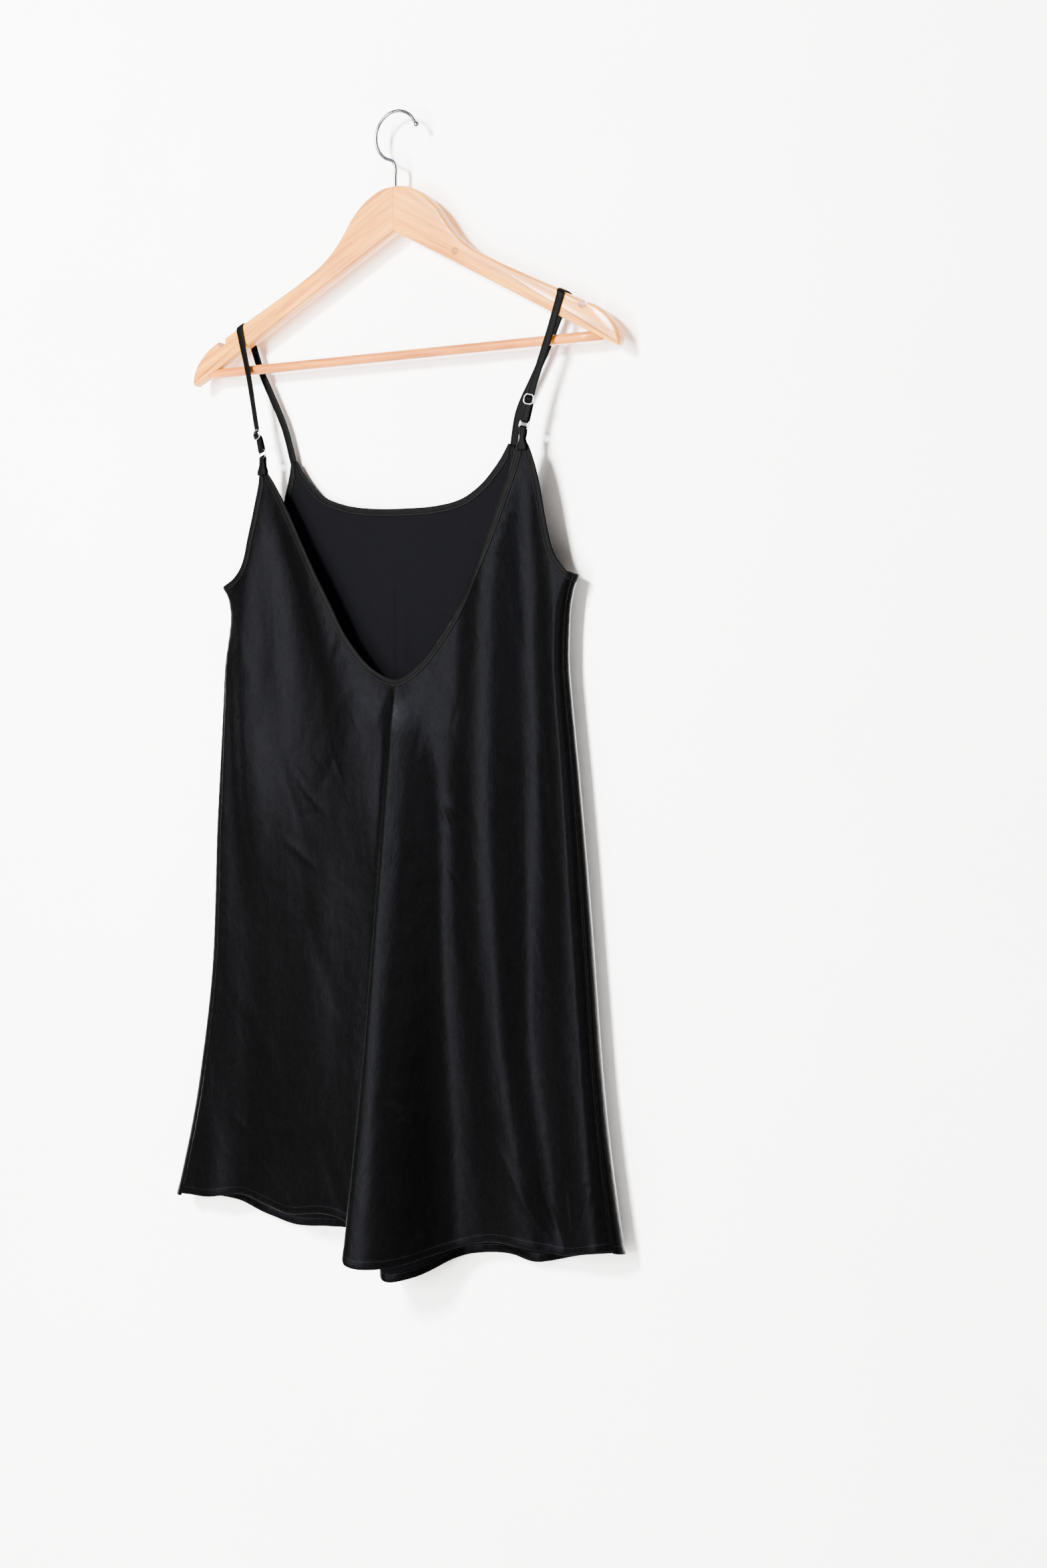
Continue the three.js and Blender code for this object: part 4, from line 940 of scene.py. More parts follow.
def dyed(tree, shader, source, colour, stops, depth, strength):
    """A colour that a noise makes paler and bumps. Stops are its two places and how much paler."""
    low, high, paler = stops
    tint = ramp(tree, source, ((low, colour), (high, shade(colour, paler))))
    put(tree, shader, Base_Color=tint, Normal=bump(tree, source, depth, strength))


def satin_back(colour):
    """The dull side of the same cloth: short crepe yarns, matt and slightly paler."""
    made, tree, shader = material("charmeuse_satin_reverse")
    crepe = noise(tree, cut_place(tree, BIAS, (1, 0.6)), 1500.0)
    dyed(tree, shader, crepe, colour, (0.3, 0.7, 1.4), 0.0001, 0.4)
    put(tree, shader, Roughness=0.85, Specular_IOR_Level=0.018)
    return made


def bias_binding(colour, shine):
    """The same satin folded to a narrow strip: its curved face catches a paler line of light."""
    made, tree, shader = material("satin_bias_binding")
    yarns = noise(tree, cut_place(tree, BIAS, (1, 0.2)), 1300.0, 3.0)
    dyed(tree, shader, yarns, colour, (0.3, 0.75, 1.9), 0.00015, 0.5)
    put(tree, shader, Roughness=0.5, Specular_IOR_Level=shine)
    return made


def sewing_thread(colour):
    """Spun polyester thread: dull black with a little fuzz."""
    made, tree, shader = material("polyester_thread")
    twist = noise(tree, object_place(tree), 4000.0)
    tint = ramp(tree, twist, ((0.3, colour), (0.7, shade(colour, 2.0))))
    put(tree, shader, Base_Color=tint, Roughness=0.6, Specular_IOR_Level=0.1)
    return made


def polished_metal(name, colour, roughness):
    """Plated wire or die-cast zinc, tumbled and polished: mirror bright with faint handling marks."""
    made, tree, shader = material(name)
    marks = noise(tree, object_place(tree), 900.0, 3.0)
    gloss = ramp(tree, marks, ((0.35, roughness), (0.8, roughness + 0.12)))
    put(tree, shader, Roughness=gloss, Base_Color=(*colour[:3], 1.0), Metallic=1.0)
    return made


def lacquered_wood(name, pale, dark, line_gap, coat):
    """Pale hardwood planed, sanded and sprayed with clear lacquer. Its cut map runs along the grain."""
    made, tree, shader = material(name)
    # Growth lines a few millimetres apart, wavering slowly along the wood.
    sway = noise(tree, cut_place(tree, 0, (0.2, 1)), 26.0, output="Color")
    shift = mathed(tree, "MULTIPLY", sway, (0, 0.02, 0))["Vector"]
    place = mathed(tree, "ADD", cut_place(tree, 0, (0.06, 1)), shift)["Vector"]
    lines = noise(tree, place, 1 / (line_gap * MM), 4.0, 0.55)
    # Pores and fibres, 0.2 mm wide in the wood and drawn 0.4 mm wide.
    fibres = noise(tree, cut_place(tree, 0, (0.05, 1)), 1700.0)
    tint = ramp(tree, lines, ((0.34, dark), (0.64, pale)))
    darken = ramp(tree, fibres, ((0.3, 0.86), (0.55, 1.0)))
    away = mathed(tree, "DISTANCE", cut_place(tree), (*KNOT["place"], 0))["Value"]
    near = add(tree, "ShaderNodeMath", {0: away, 1: 1 / KNOT["reach"]}, operation="MULTIPLY").outputs[0]
    knot = ramp(tree, near, ((0.0, 0.35), (0.28, 0.75), (0.42, 0.3), (0.6, 1.0)))
    colour = multiplied(tree, multiplied(tree, tint, darken), knot)
    put(tree, shader, Base_Color=colour, Normal=bump(tree, fibres, 0.00005, 0.3))
    put(tree, shader, Roughness=0.42, Specular_IOR_Level=0.1, Coat_Weight=coat, Coat_Roughness=0.12)
    return made


def multiplied(tree, first, second):
    """Two colours multiplied."""
    inputs = {0: 1.0, 6: first, 7: second}
    return add(tree, "ShaderNodeMix", inputs, data_type="RGBA", blend_type="MULTIPLY").outputs[2]


def painted_plaster(name, colour):
    """Emulsion paint on plaster: matt white with a faint roller stipple."""
    made, tree, shader = material(name)
    stipple, slow = noise(tree, object_place(tree), 220.0, 4.0), noise(tree, object_place(tree), 5.0)
    tint = ramp(tree, slow, ((0.3, colour), (0.7, shade(colour, 1.04))))
    put(tree, shader, Base_Color=tint, Normal=bump(tree, stipple, 0.0004, 0.4))
    put(tree, shader, Roughness=0.9, Specular_IOR_Level=0.1)
    return made, tree, shader


# Straps and metal.


def vec(p):
    return np.array(p, float)


def strap_frame(strap, twist=None):
    """Down along the strap's front stretch, across it, and toward the wall, with its twist."""
    down = unit(vec(strap["ring"]) - vec(strap["slider"]))
    across = unit(np.array([-down[2], 0, down[0]]))
    inward = -np.cross(across, down)
    if inward[1] < 0:
        inward = -inward
    a = math.radians(strap["twist"] if twist is None else twist)
    turned = across * math.cos(a) + inward * math.sin(a)
    return down, turned, inward * math.cos(a) - across * math.sin(a)


EIGHTH = math.sqrt(0.5)


def strap_loop(strap):
    """The strap about the slider's bar, then round the ring and back up behind itself."""
    down, _, inward = strap_frame(strap)
    start = vec(strap["slider"])
    lift = SLIDER_BAR + STRAP_THICK / 2 + 0.3
    half = SLIDER["height"] / 2
    reach = np.linalg.norm(vec(strap["ring"]) - start) - RING["height"] / 2 + RING["wire"] / 2
    turn = RING["wire"] / 2 + STRAP_THICK / 2 + CLEAR
    middle = half / 2 - 0.25
    # Places as how far along from the slider's bar and how far in toward the wall.
    over_bar = [(-half - 4, 0), (-half + 0.6, 0), (-middle, -lift), (-0.3, -2 * lift)]
    over_bar += [(0.3, -2 * lift), (middle, -lift), (half - 0.6, 0), (half + 2, 0)]
    round_ring = [(reach - 2, 0), (reach, 0), (reach + turn * EIGHTH, turn * (1 - EIGHTH))]
    round_ring += [(reach + turn, turn), (reach + turn * EIGHTH, turn * (1 + EIGHTH)), (reach, 2 * turn)]
    back_up = [(reach - 2, 2 * turn), (half + 1, 2 * turn - 0.6), (half * 0.5, turn + 0.1), (1.4, 0.5)]
    line = over_bar + round_ring + back_up
    return [start + down * along + inward * depth for along, depth in line], lift, turn


def strap_section(width, thick, sides=5):
    """A folded strip: a flat lens with rounded, slightly rolled edges."""
    top = [(width / 2, 0)]
    for k in range(1, sides):
        a = math.pi * k / sides
        top.append((width / 2 * math.cos(a), thick / 2 * (0.35 + 0.65 * math.sin(a) ** 0.5)))
    lower = [(u, -v) for u, v in reversed(top[1:])]
    return np.array([*top, (-width / 2, 0), *lower])


def swept(name, centres, across, widths, thick, materials):
    """A strip swept along centres, each with the way across it. Its map runs along it."""
    tangent = unit(np.gradient(centres, axis=0))
    across = unit(across - tangent * (across * tangent).sum(-1, keepdims=True))
    normal = np.cross(tangent, across)
    along = length_along(centres)
    rings, flats = [], []
    for i, centre in enumerate(centres):
        outline = strap_section(widths[i], thick)
        rings.append(centre + outline[:, :1] * across[i] + outline[:, 1:] * normal[i])
        flats.append(np.stack([outline[:, 0], np.full(len(outline), along[i])], -1))
    sides = len(rings[0])
    faces = tube_faces(len(rings), sides)
    piece = new_piece(name, np.concatenate(rings), faces, materials, np.concatenate(flats))
    return faces_outward(piece)


def smooth_path(stops, spacing):
    """Even places along a spline through stops of (place, across), with across turned smoothly."""
    points = np.array([p for p, _ in stops])
    ways = np.array([unit(vec(a)) for _, a in stops])
    per = 12
    dense = smooth_line(points, per)
    at = np.arange(len(dense)) / per
    k = np.arange(len(stops))
    turned = np.stack([np.interp(at, k, ways[:, c]) for c in range(3)], -1)
    both = np.concatenate([dense, turned], 1)
    along = length_along(dense)
    where = np.linspace(0, along[-1], max(2, round(along[-1] / spacing)) + 1)
    both = np.stack([np.interp(where, along, both[:, c]) for c in range(6)], -1)
    return both[:, :3], unit(both[:, 3:])


def strap_piece(name, strap, materials):
    """One strap from the back panel over the hanger's arm to its slider and ring."""
    across = strap_frame(strap, strap["front_twist"])[1]
    at_slider = strap_frame(strap)[1]
    side = strap["side"]
    slope = vec((1, 0, -side * ARM_SLOPE))
    back_across = vec((1, 0, side * BACK_SLANT))
    level = vec((1, 0, 0))
    lift = ARM_EDGE + STRAP_THICK / 2 + CLEAR
    over = []
    for degrees in (90, 45, 0):
        a = math.radians(degrees)
        over.append((ARM_THICK / 2 - ARM_EDGE + lift * math.sin(a), lift * (math.cos(a) - 1)))
    crossing = over + [(-y, z) for y, z in reversed(over)]
    x, z = strap["back_end"]
    end = BACK.base(vec(x), vec(z)) + vec((0, BACK_END_OUT, 0))
    half_turned = unit(level + across)
    stops = [(end, back_across)]
    stops += [(vec(p), back_across) for p in strap["back"]]
    stops += [(vec(strap["arm_back"]), level)]
    stops += [(vec(strap["arm_top"]) + vec((0, y, z)), slope) for y, z in crossing]
    stops += [(vec(strap["arm_front"]), half_turned)]
    stops += [(vec(p), across) for p in strap["front"]]
    stops += [(p, at_slider) for p in strap_loop(strap)[0]]
    centres, ways = smooth_path(stops, 0.9)
    widths = STRAP_WIDTH * (1 + 0.025 * ripple(len(centres), 5 + side, 9))
    return swept(name, centres, ways, widths, STRAP_THICK, materials)


def tab_piece(name, strap, materials):
    """The loop of satin over the ring's lower bar, widening to clasp the strap point."""
    down, across, inward = strap_frame(strap)
    turn = strap_loop(strap)[2]
    fold = RING["wire"] / 2 + TAB_THICK / 2 + CLEAR
    centre = vec(strap["ring"]) + inward * turn + down * (RING["height"] - RING["wire"]) / 2
    point = FRONT.base(vec(strap["point"][0]), vec(strap["point"][1]))
    plain_in = vec((0, 1, 0))
    below = unit(point - centre)
    clasp = 0.95 + TAB_THICK / 2 + 0.25
    foot = point + below * 4.2
    leaves = [
        [
            (foot + plain_in * (leaf * clasp), 1),
            (point + plain_in * (leaf * (clasp + 0.15)), 1),
            (centre + (point - centre) * 0.6 + plain_in * (leaf * (fold + 0.1)), 0.6),
            (centre + below * 3 + inward * (leaf * fold), 0.1),
            (centre + inward * (leaf * fold), 0),
            (centre - down * fold * EIGHTH + inward * (leaf * fold) * EIGHTH, 0),
        ]
        for leaf in (-1, 1)
    ]
    spots = [*leaves[0], (centre - down * fold, 0), *reversed(leaves[1])]
    plain_across = unit(np.array([-below[2], 0, below[0]]))
    stops = [(p, across * (1 - share) + plain_across * share) for p, share in spots]
    centres, ways = smooth_path(stops, 0.8)
    shares = np.clip((centres - centre) @ below / max((point - centre) @ below, 1e-6), 0, 1.2)
    places, sizes = np.array(strap["tab"]).T
    widths = np.interp(shares, places, sizes)
    return swept(name, centres, ways, widths, TAB_THICK, materials)


def rounded_loop(width, height, corner, per=8):
    """A closed rounded rectangle in two dimensions, with even corners."""
    points = []
    for cx, cy, start in ((1, 1, 0), (-1, 1, 90), (-1, -1, 180), (1, -1, 270)):
        for k in range(per + 1):
            a = math.radians(start + 90 * k / per)
            x = cx * (width / 2 - corner) + corner * math.cos(a)
            points.append((x, cy * (height / 2 - corner) + corner * math.sin(a)))
    return np.array(points)


def wire_points(line, radius, sides, closed):
    """Rings of points round a line, and the faces between them."""
    before = np.roll(line, 1, 0) if closed else np.vstack([line[:1], line[:-1]])
    after = np.roll(line, -1, 0) if closed else np.vstack([line[1:], line[-1:]])
    tangent = unit(after - before)
    flat = np.linalg.svd(line - line.mean(0))[2][2]
    outward = unit(np.cross(tangent, flat))
    a = np.linspace(0, 2 * np.pi, sides, endpoint=False)
    ring = outward[:, None] * np.cos(a)[:, None] + flat * np.sin(a)[:, None]
    return (line[:, None] + radius * ring).reshape(-1, 3), tube_faces(len(line), sides, closed)


def joined(parts):
    """Several sets of points and faces as one."""
    points, faces, start = [], [], 0
    for some, ways in parts:
        points.append(some)
        faces += [tuple(start + i for i in face) for face in ways]
        start += len(some)
    return np.concatenate(points), faces


def wire_loop(form, centre, across, down, sides):
    """A rounded loop of wire about a centre, as points and faces."""
    wire = form["wire"]
    loop = rounded_loop(form["width"] - wire, form["height"] - wire, form["corner"])
    return wire_points(centre + loop[:, :1] * across - loop[:, 1:] * down, wire / 2, sides, True)


def slider_piece(name, strap, metal):
    """A slider: a rounded square of wire with a bar across its middle."""
    down, across, inward = strap_frame(strap)
    centre = vec(strap["slider"]) - inward * strap_loop(strap)[1]
    reach = SLIDER["width"] / 2 - SLIDER["wire"] / 2
    bar = centre + np.linspace(-reach, reach, 7)[:, None] * across
    parts = [wire_loop(SLIDER, centre, across, down, 14), bar_points(bar, SLIDER_BAR, down, inward)]
    return faces_outward(new_piece(name, *joined(parts), [metal]))


def bar_points(line, radius, up, out, sides=12):
    """A straight round bar with its two ends closed."""
    a = np.linspace(0, 2 * np.pi, sides, endpoint=False)
    ring = np.cos(a)[:, None] * up + np.sin(a)[:, None] * out
    return (line[:, None] + radius * ring).reshape(-1, 3), tube_faces(len(line), sides)


def ring_piece(name, strap, metal):
    """The ring between strap and tab: a soft-cornered loop of wire."""
    down, across, inward = strap_frame(strap)
    centre = vec(strap["ring"]) + inward * strap_loop(strap)[2]
    return faces_outward(new_piece(name, *wire_loop(RING, centre, across, down, 16), [metal]))


# Hanger.


def arm_outline():
    """One arm from the top of the mitre round its tip and back along the underside."""
    top = spaced(smooth_line(ARM_TOP), 2.2)
    lower = []
    for a, b in zip(ARM_UNDERSIDE, ARM_UNDERSIDE[1:]):
        lower.append(np.linspace(a, b, 9)[:-1])
    return np.vstack([top, ARM_TIP, *lower, [ARM_UNDERSIDE[-1]]])


def inset_outline(outline, distance):
    """The outline moved inward. Its two ends stay on the mitre."""
    before, after = np.roll(outline, 1, 0), np.roll(outline, -1, 0)
    way_in, way_out = unit(outline - before), unit(after - outline)
    inward = unit(np.stack([way_in[:, 1] + way_out[:, 1], -way_in[:, 0] - way_out[:, 0]], -1))
    spread = np.sqrt(np.maximum((1 + (way_in * way_out).sum(-1)) / 2, 0.2))
    moved = outline + inward * (distance / spread)[:, None]
    slope = (outline[-1] - outline[-2])[1] / (outline[-1] - outline[-2])[0]
    moved[0] = outline[0] + (0, -distance)
    moved[-1] = outline[-1] + (0, distance * math.hypot(1, slope))
    return moved


def arm_piece(name, side, wood):
    """One wooden arm: a slab with rounded edges, a notch for straps and a socket for the bar."""
    outline = arm_outline()
    half = ARM_THICK / 2
    quarter = [math.radians(a) for a in (90, 72, 54, 36, 18, 0)]
    section = [(ARM_EDGE * (1 - math.cos(a)), half - ARM_EDGE + ARM_EDGE * math.sin(a)) for a in quarter]
    section += [(inset, -y) for inset, y in reversed(section)]
    loops = []
    for inset, y in section:
        flat = inset_outline(outline, inset)
        loops.append(np.stack([np.maximum(flat[:, 0], MITRE_GAP), np.full(len(flat), y), flat[:, 1]], -1))
    count = len(outline)
    points = np.concatenate(loops)
    faces = grid_faces(len(loops), count)
    faces.append(tuple(range(count)))
    faces.append(tuple(range((len(loops) - 1) * count, len(loops) * count))[::-1])
    starts = [k * count for k in range(len(loops))]
    faces.append((*starts, *(k + count - 1 for k in reversed(starts))))
    # The cut map runs along the arm, so that the grain follows it.
    angle = math.atan(ARM_SLOPE)
    along = points[:, 0] * math.cos(angle) - points[:, 2] * math.sin(angle)
    over = points[:, 0] * math.sin(angle) + points[:, 2] * math.cos(angle)
    flat = np.stack([along + 900 * side, over + 0.7 * points[:, 1]], -1)
    points = points * (side, 1, 1)
    piece = new_piece(name, points, faces, [wood], flat)
    faces_outward(piece)
    drill(piece, "y", (side * NOTCH["x"], 0, NOTCH["z"]), NOTCH["radius"], 40)
    socket = BAR["reach"] + BAR["play"] - BAR["let_in"]
    centre = (side * socket, 0, BAR["height"])
    drill(piece, "x", centre, BAR["radius"] + BAR["play"], 2 * BAR["let_in"])
    for polygon in piece.data.polygons:
        polygon.use_smooth = True
    piece.data.set_sharp_from_angle(angle=math.radians(32))
    return piece


def drill(piece, axis, centre, radius, length):
    """Cuts a round hole through a piece."""
    turn = {"x": Matrix.Rotation(math.pi / 2, 4, "Y"), "y": Matrix.Rotation(math.pi / 2, 4, "X")}[axis]
    b = bmesh.new()
    place = Matrix.Translation(Vector(centre) * MM) @ turn
    size = {"segments": 48, "radius1": radius * MM, "radius2": radius * MM, "depth": length * MM}
    bmesh.ops.create_cone(b, cap_ends=True, matrix=place, **size)
    mesh = bpy.data.meshes.new("drill")
    b.to_mesh(mesh)
    b.free()
    cutter = bpy.data.objects.new("drill", mesh)
    bpy.context.scene.collection.objects.link(cutter)
    cut = piece.modifiers.new("drill", "BOOLEAN")
    cut.operation, cut.solver, cut.object = "DIFFERENCE", "EXACT", cutter
    settled(piece, piece.data)
    bpy.data.objects.remove(cutter)
    bpy.data.meshes.remove(mesh)


def bar_piece(name, wood):
    """The round trouser bar, let into both arms."""
    radius, reach = BAR["radius"], BAR["reach"]
    stations = [(-reach, radius - 0.6), (-reach + 0.6, radius)]
    stations += [(x, radius) for x in np.linspace(-reach + 20, reach - 20, 18)]
    stations += [(reach - 0.6, radius), (reach, radius - 0.6)]
    sides = 40
    a = np.linspace(0, 2 * np.pi, sides, endpoint=False)
    rings, flats = [], []
    for x, r in stations:
        rings.append(np.stack([np.full(sides, x), r * np.cos(a), BAR["height"] + r * np.sin(a)], -1))
        flats.append(np.stack([np.full(sides, x + 2500), r * np.sin(a) + 0.6 * r * np.cos(a)], -1))
    faces = tube_faces(len(stations), sides)
    piece = new_piece(name, np.concatenate(rings), faces, [wood], np.concatenate(flats))
    faces_outward(piece)
    piece.data.set_sharp_from_angle(angle=math.radians(50))
    return piece


def hook_line():
    """The hook's centreline: shank, bend and most of a circle."""
    radius = HOOK["radius"] + HOOK["wire"] / 2
    shift = HOOK["shift"]
    points = [(shift, HOOK["end"]), (shift, -70), (shift, -56), (shift, -47), (-4.0, -41.6)]
    for degrees in np.arange(238, 25, -21.2):
        a = math.radians(degrees)
        points.append((radius * math.cos(a), -HOOK["radius"] + radius * math.sin(a)))
    line = spaced(smooth_line(points), 0.9)
    return np.stack([line[:, 0], np.zeros(len(line)), line[:, 1]], -1)


def ball(centre, radius, rings=16, sides=24):
    """A sphere of quads closed by two fans."""
    points, faces = [centre + vec((0, 0, radius))], []
    for i in range(1, rings):
        a = math.pi * i / rings
        for j in range(sides):
            b = 2 * math.pi * j / sides
            way = (math.sin(a) * math.cos(b), math.sin(a) * math.sin(b), math.cos(a))
            points.append(centre + radius * vec(way))
    points.append(centre - vec((0, 0, radius)))
    last = len(points) - 1
    for j in range(sides):
        k = (j + 1) % sides
        faces.append((0, 1 + j, 1 + k))
        faces.append((last, last - sides + k, last - sides + j))
        for i in range(rings - 2):
            a = 1 + i * sides
            faces.append((a + j, a + sides + j, a + sides + k, a + k))
    return np.array(points), faces


# Settings that a user would change.


def number(name, description, default, unit="NONE", low=0.0, high=10.0):
    return bpy.props.FloatProperty(
        name=name, description=description, default=default, unit=unit, min=low, max=high, precision=5
    )


def colour(name, description, default):
    return bpy.props.FloatVectorProperty(
        name=name, description=description, default=linear(default)[:3], subtype="COLOR", min=0, max=1
    )


class SlipDressCloth(bpy.types.PropertyGroup):
    """Sizes and finish of the cloth and its sewing."""

    thickness: number("Cloth", "Thickness of the satin", 0.0003, "LENGTH", 0.0001, 0.001)
    binding: number("Binding", "Width of the bias binding", 0.0065, "LENGTH", 0.003, 0.01)
    hem: number("Hem", "Depth of the turned hem", 0.008, "LENGTH", 0.004, 0.02)
    satin: colour("Satin", "Colour of the satin's face", "#020202")
    reverse: colour("Reverse", "Colour of the satin's dull side", "#030304")
    binding_colour: colour("Binding colour", "Colour of bindings, straps and tabs", "#020202")
    thread_colour: colour("Thread", "Colour of the sewing thread", "#040405")
    roughness: number("Satin roughness", "How soft the satin's shine is", 0.3, low=0.1, high=0.9)
    shine: number("Satin shine", "How strong the satin's shine is", 0.0125, high=1.0)
    pitch: number("Stitch pitch", "Distance from stitch to stitch", 0.0027, "LENGTH", 0.001, 0.006)
    stitch: number("Stitch length", "Visible length of one stitch", 0.0019, "LENGTH", 0.0005, 0.005)
    thread: number("Thread radius", "Half the thread's thickness", 0.00013, "LENGTH", 0.00005, 0.0005)


class SlipDressMetal(bpy.types.PropertyGroup):
    """Finish of the small metal pieces and the hook."""

    nickel: colour("Nickel", "Colour of the sliders and rings", "#8c8c90")
    nickel_roughness: number("Nickel roughness", "Polish of the sliders and rings", 0.16, high=1.0)
    chrome: colour("Chrome", "Colour of the hook", "#5c5d61")
    hook_roughness: number("Hook roughness", "Polish of the hook's wire", 0.12, high=1.0)


class SlipDressHanger(bpy.types.PropertyGroup):
    """Finish of the wood."""

    pale: colour("Arm wood", "Colour of the arms between their growth lines", "#b9781e")
    dark: colour("Arm growth line", "Colour of the arms' growth lines", "#8f5014")
    bar: colour("Bar wood", "Colour of the bar between its growth lines", "#ac6218")
    bar_dark: colour("Bar growth line", "Colour of the bar's growth lines", "#81420c")
    growth_lines: number("Growth lines", "Distance from line to line", 0.0045, "LENGTH", 0.001, 0.02)
    lacquer: number("Lacquer", "How much clear lacquer shines over the wood", 0.2, high=1.0)


class SlipDressStage(bpy.types.PropertyGroup):
    """The wall, the floor and the light."""

    wall: number("Wall", "How far the wall is behind the hanger's middle", 0.0165, "LENGTH", 0.0, 2.0)
    floor: number("Floor", "Height of the hook above the floor", 1.95, "LENGTH", 1.0, 3.0)
    wall_colour: colour("Wall colour", "Colour of the wall", "#f4f2f0")
    floor_colour: colour("Floor colour", "Colour of the floor", "#ecebe9")
    key: number("Key light", "Power of the main light in watts", 420.0, high=2000.0)
    strip: number("Strip light", "Power of the tall light in watts", 260.0, high=2000.0)
    front: number("Front light", "Power of the soft light beside the camera", 60.0, high=2000.0)
    window: number("Window light", "Power of the low light on the left in watts", 34.0, high=2000.0)
    behind: number("Light behind", "Power of the wide light behind in watts", 420.0, high=2000.0)
    room: number("Room", "Brightness of the room all round", 0.14, high=5.0)


SETTINGS = (
    ("slip_dress_cloth", SlipDressCloth),
    ("slip_dress_metal", SlipDressMetal),
    ("slip_dress_hanger", SlipDressHanger),
    ("slip_dress_stage", SlipDressStage),
)
EDGES = {}
MADE = {}


def finish(name, make):
    """A material made once and shared by its pieces."""
    if name not in MADE:
        MADE[name] = make()
    return MADE[name]


def face_of(cloth):
    return finish("face", lambda: satin_face(cloth.satin, cloth.roughness, cloth.shine))


def strip_of(cloth):
    return [finish("binding", lambda: bias_binding(cloth.binding_colour, cloth.shine))]


def edges_for(scene):
    """The cut edges of both panels, made once."""
    if not EDGES:
        width = scene.slip_dress_cloth.binding / MM
        EDGES["front"] = cut_edges(FRONT, FRONT_NECK, FRONT_ARMHOLE, width)
        EDGES["back"] = cut_edges(BACK, BACK_NECK, BACK_ARMHOLE, width)
    return EDGES


# Operators.


class SLIPDRESS_OT_panels(bpy.types.Operator):
    """Make the front and back of the dress"""

    bl_idname = "slipdress.panels"
    bl_label = "Panels"

    def execute(self, context):
        cloth = context.scene.slip_dress_cloth
        edges = edges_for(context.scene)
        face = face_of(cloth)
        back = finish("reverse", lambda: satin_back(cloth.reverse))
        for word, panel in (("front", FRONT), ("back", BACK)):
            shell = (panel, edges[word], cloth.thickness / MM, [face, back], *PANEL_GRID)
            seat(panel_piece(f"satin_{word}", *shell), "satin", f"{word}_panel")
        return {"FINISHED"}


class SLIPDRESS_OT_bindings(bpy.types.Operator):
    """Bind the neck and the armholes and turn up the hem"""

    bl_idname = "slipdress.bindings"
    bl_label = "Bindings and hems"

    def execute(self, context):
        edges = edges_for(context.scene)
        cloth = context.scene.slip_dress_cloth
        strip = strip_of(cloth)
        for word in ("front", "back"):
            neck = [(edges[word][0], False)]
            piece = edge_band(f"{word}_neck_bias", neck, BINDING_SECTION, strip, BINDING_UNEVEN, 31)
            seat(piece, "binding", f"{word}_neck_binding")
        for side, word in ((-1, "left"), (1, "right")):
            runs = [(edges["front"][side], False), (edges["back"][side], True)]
            name = f"{word}_armhole_bias"
            piece = edge_band(name, runs, BINDING_SECTION, strip, BINDING_UNEVEN, 41 + side)
            seat(piece, "binding", f"armhole_binding_{word}")
        face = [face_of(cloth)]
        for name, panel, seed in (("front_hem", FRONT, 51), ("back_hem", BACK, 53)):
            EDGES[name] = hem_edge(panel, cloth.hem / MM)
            seat(edge_band(name, [(EDGES[name], False)], HEM_SECTION, face, HEM_UNEVEN, seed), "satin")
        return {"FINISHED"}


def hem_edge(panel, depth):
    """The hem from seam to seam, with its way up into the cloth."""
    ends = [float(panel.seam(side, HEM_LEVEL)) - side * 0.4 for side in (-1, 1)]
    edge = Edge(panel, [(ends[0], HEM_LEVEL), (0, HEM_LEVEL), (ends[1], HEM_LEVEL)], -1, spacing=1.7)
    edge.width = np.full(len(edge.line), depth)
    return edge


class SLIPDRESS_OT_straps(bpy.types.Operator):
    """Make the straps and the tabs that hold their rings"""

    bl_idname = "slipdress.straps"
    bl_label = "Straps and tabs"

    def execute(self, context):
        cloth = context.scene.slip_dress_cloth
        strip = strip_of(cloth)
        for word, strap in STRAPS.items():
            seat(strap_piece(f"{word}_strap_strip", strap, strip), "binding", f"strap_{word}")
            seat(tab_piece(f"{word}_ring_tab", strap, strip), "binding", f"tab_{word}")
        return {"FINISHED"}


class SLIPDRESS_OT_metal(bpy.types.Operator):
    """Make the sliders and rings of the straps"""

    bl_idname = "slipdress.metal"
    bl_label = "Sliders and rings"

    def execute(self, context):
        metal = context.scene.slip_dress_metal
        look = (metal.nickel, metal.nickel_roughness)
        nickel = finish("nickel", lambda: polished_metal("polished_nickel", *look))
        for word, strap in STRAPS.items():
            seat(slider_piece(f"{word}_strap_slider", strap, nickel), "nickel", f"slider_{word}")
            seat(ring_piece(f"{word}_strap_ring", strap, nickel), "nickel", f"ring_{word}")
        return {"FINISHED"}


class SLIPDRESS_OT_stitching(bpy.types.Operator):
    """Sew the bindings and the hems"""

    bl_idname = "slipdress.stitching"
    bl_label = "Stitching"

    def execute(self, context):
        cloth = context.scene.slip_dress_cloth
        edges = edges_for(context.scene)
        thread = finish("thread", lambda: sewing_thread(cloth.thread_colour))
        rows = {
            "neck_stitches": (BINDING_LIFT, [edges[w][0] for w in ("front", "back")]),
            "armhole_stitches": (BINDING_LIFT, [edges[w][s] for w in ("front", "back") for s in (-1, 1)]),
            "hem_stitches": (HEM_LIFT, [EDGES["front_hem"], EDGES["back_hem"]]),
        }
        sizes = [value / MM for value in (cloth.pitch, cloth.stitch, cloth.thread)]
        for name, (lift, runs) in rows.items():
            sewn = [(edge, face * lift) for edge in runs for face in (1, -1)]
            lines = [edge.points(SEAM_STITCH * edge.width, height)[2:-2] for edge, height in sewn]
            seat(stitched(name, lines, *sizes, thread), "binding")
        return {"FINISHED"}


